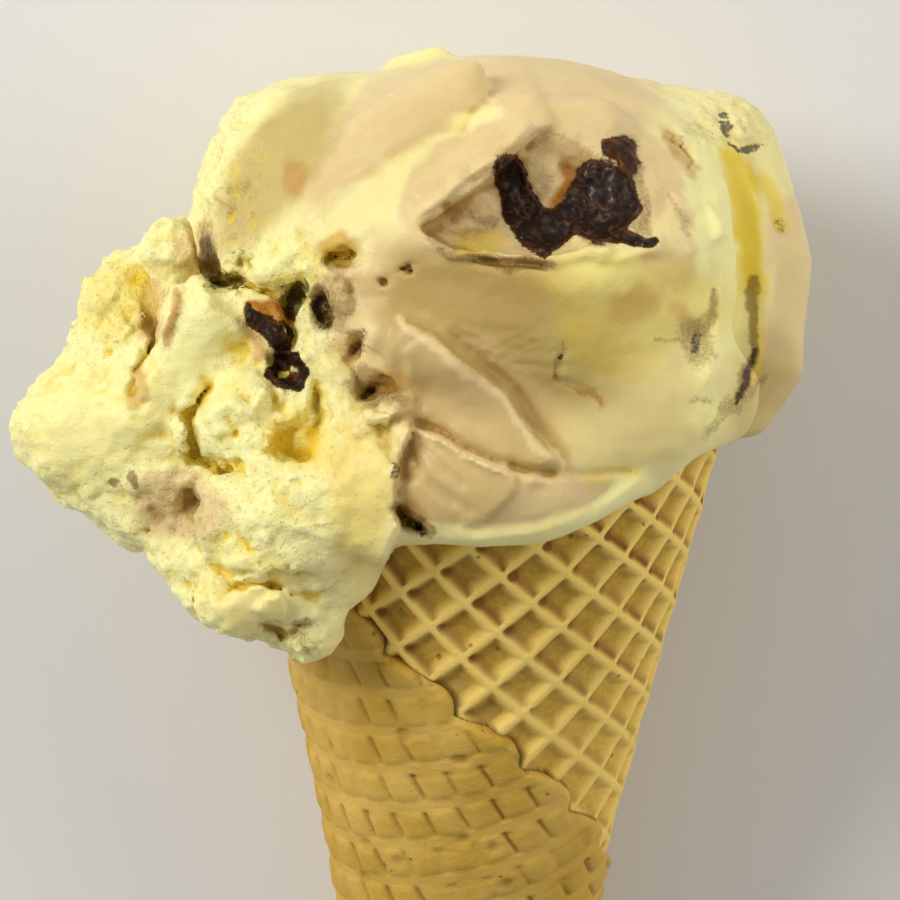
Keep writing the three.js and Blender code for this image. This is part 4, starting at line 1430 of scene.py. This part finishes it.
def cone_tip():
    """The closed rounded tip and the cone's inner body, turned about the axis."""
    middle = on_cone(TIP_SLANT, 0, -TIP_ROUND)
    profile = [
        (middle[2] + TIP_ROUND * math.sin(bend), middle[1] - TIP_ROUND * math.cos(bend))
        for bend in np.radians(np.arange(0, 84, 6))
    ]
    profile[0] = (0, profile[0][1])
    for slant, height in ((TIP_SLANT, 0), (24, -0.1), (34, -CORE_DROP), (MOUTH_SLANT, -CORE_DROP)):
        place = on_cone(slant, 0, height)
        profile.append((float(place[2]), float(place[1])))
    profile.append((0, profile[-1][1]))
    count = 64
    points, faces = [], []
    for radius, along in profile:
        for angle in np.arange(count) * 2 * math.pi / count:
            points.append((radius * math.sin(angle), along, radius * math.cos(angle)))
    for ring in range(len(profile) - 1):
        for step in range(count):
            here, ahead = ring * count + step, ring * count + (step + 1) % count
            faces.append((here, ahead, ahead + count, here + count))
    return np.array(points), np.array(faces)


def make_cone(material):
    both = [inside_top, inside_bottom]
    outer = rolled(flap_squares, flap_relief, [*both, past_flap, inside_outer_edge], 1.0)
    inner = rolled(waffle_squares, waffle_relief, [*both, before_flap, inside_inner_end], 0.0)
    tip_points, tip_faces = cone_tip()
    tip_marks = {name: np.full(len(tip_points), 0.5 if name == "rib" else 0.3) for name in outer[2]}
    parts = [outer, inner, (tip_points, tip_faces, tip_marks)]
    starts = np.cumsum([0] + [len(points) for points, _, _ in parts])
    points = np.concatenate([points for points, _, _ in parts])
    faces = np.concatenate([faces + start for (_, faces, _), start in zip(parts, starts)])
    marks = {name: np.concatenate([marks[name] for _, _, marks in parts]) for name in outer[2]}
    seated = on_floor(points, cone_placing)
    make_piece("rolled_waffle_cone", "waffle_cone", seated, faces, material, marks)


# ---- Floor, lights and camera ----
VIEW_DISTANCE = 1200
VIEW_WIDTH = 121.86  # width that the camera sees in the plane of the scoop's face
VIEW_MIDDLE = (-4.06, -6.77)
FLOOR_HALF = 3  # metres
WORLD_LIGHT = 0.33


def make_floor():
    mesh = bpy.data.meshes.new("studio_floor")
    corners = [(x * FLOOR_HALF, y * FLOOR_HALF, 0) for x, y in ((-1, -1), (1, -1), (1, 1), (-1, 1))]
    mesh.from_pydata(corners, [], [(0, 1, 2, 3)])
    recipe = Recipe("lit_floor", Base_Color=colour(226, 224, 220), Roughness=0.7)
    mesh.materials.append(recipe.material)
    floor = bpy.data.objects.new("studio_floor", mesh)
    bpy.context.collection.objects.link(floor)


def make_light(name, place, size, power, tint=(1, 1, 1)):
    """A round lamp that looks at the middle of the object. Its place and size are in metres."""
    light = bpy.data.lights.new(name, "AREA")
    light.shape = "DISK"
    light.size = size
    light.energy = power
    light.color = tint
    lamp = bpy.data.objects.new(name, light)
    lamp.location = place
    lamp.rotation_euler = (-Vector(place)).to_track_quat("-Z", "Y").to_euler()
    bpy.context.collection.objects.link(lamp)


def make_studio():
    make_floor()
    make_light("key", (-0.72, 0.42, 0.68), size=0.5, power=8.2)
    make_light("fill", (0.75, 0.3, 0.5), size=0.7, power=3.2, tint=(1, 0.97, 0.92))
    world = bpy.data.worlds.new("studio")
    world.use_nodes = True
    background = world.node_tree.nodes["Background"]
    background.inputs["Color"].default_value = (1, 1, 1, 1)
    background.inputs["Strength"].default_value = WORLD_LIGHT
    bpy.context.scene.world = world
    bpy.context.scene.view_settings.view_transform = "Standard"


def make_camera():
    data = bpy.data.cameras.new("camera")
    data.sensor_width = 36
    data.lens = data.sensor_width * VIEW_DISTANCE / VIEW_WIDTH
    data.clip_start, data.clip_end = 0.1, 10
    camera = bpy.data.objects.new("camera", data)
    place = scoop_placing @ Vector((*VIEW_MIDDLE, VIEW_DISTANCE))
    camera.matrix_world = Matrix.Translation(place * MM) @ scoop_placing.to_3x3().to_4x4()
    bpy.context.collection.objects.link(camera)
    bpy.context.scene.camera = camera


make_camera()
make_studio()
fudge = fudge_finish()
make_scoop(ice_cream_finish())
make_fudge("fudge_in_the_hollow", "fudge_pool", fudge_pool, fudge)
make_fudge("fudge_in_the_crack", "fudge_ribbon", fudge_ribbon, fudge)
make_cone(waffle_finish())
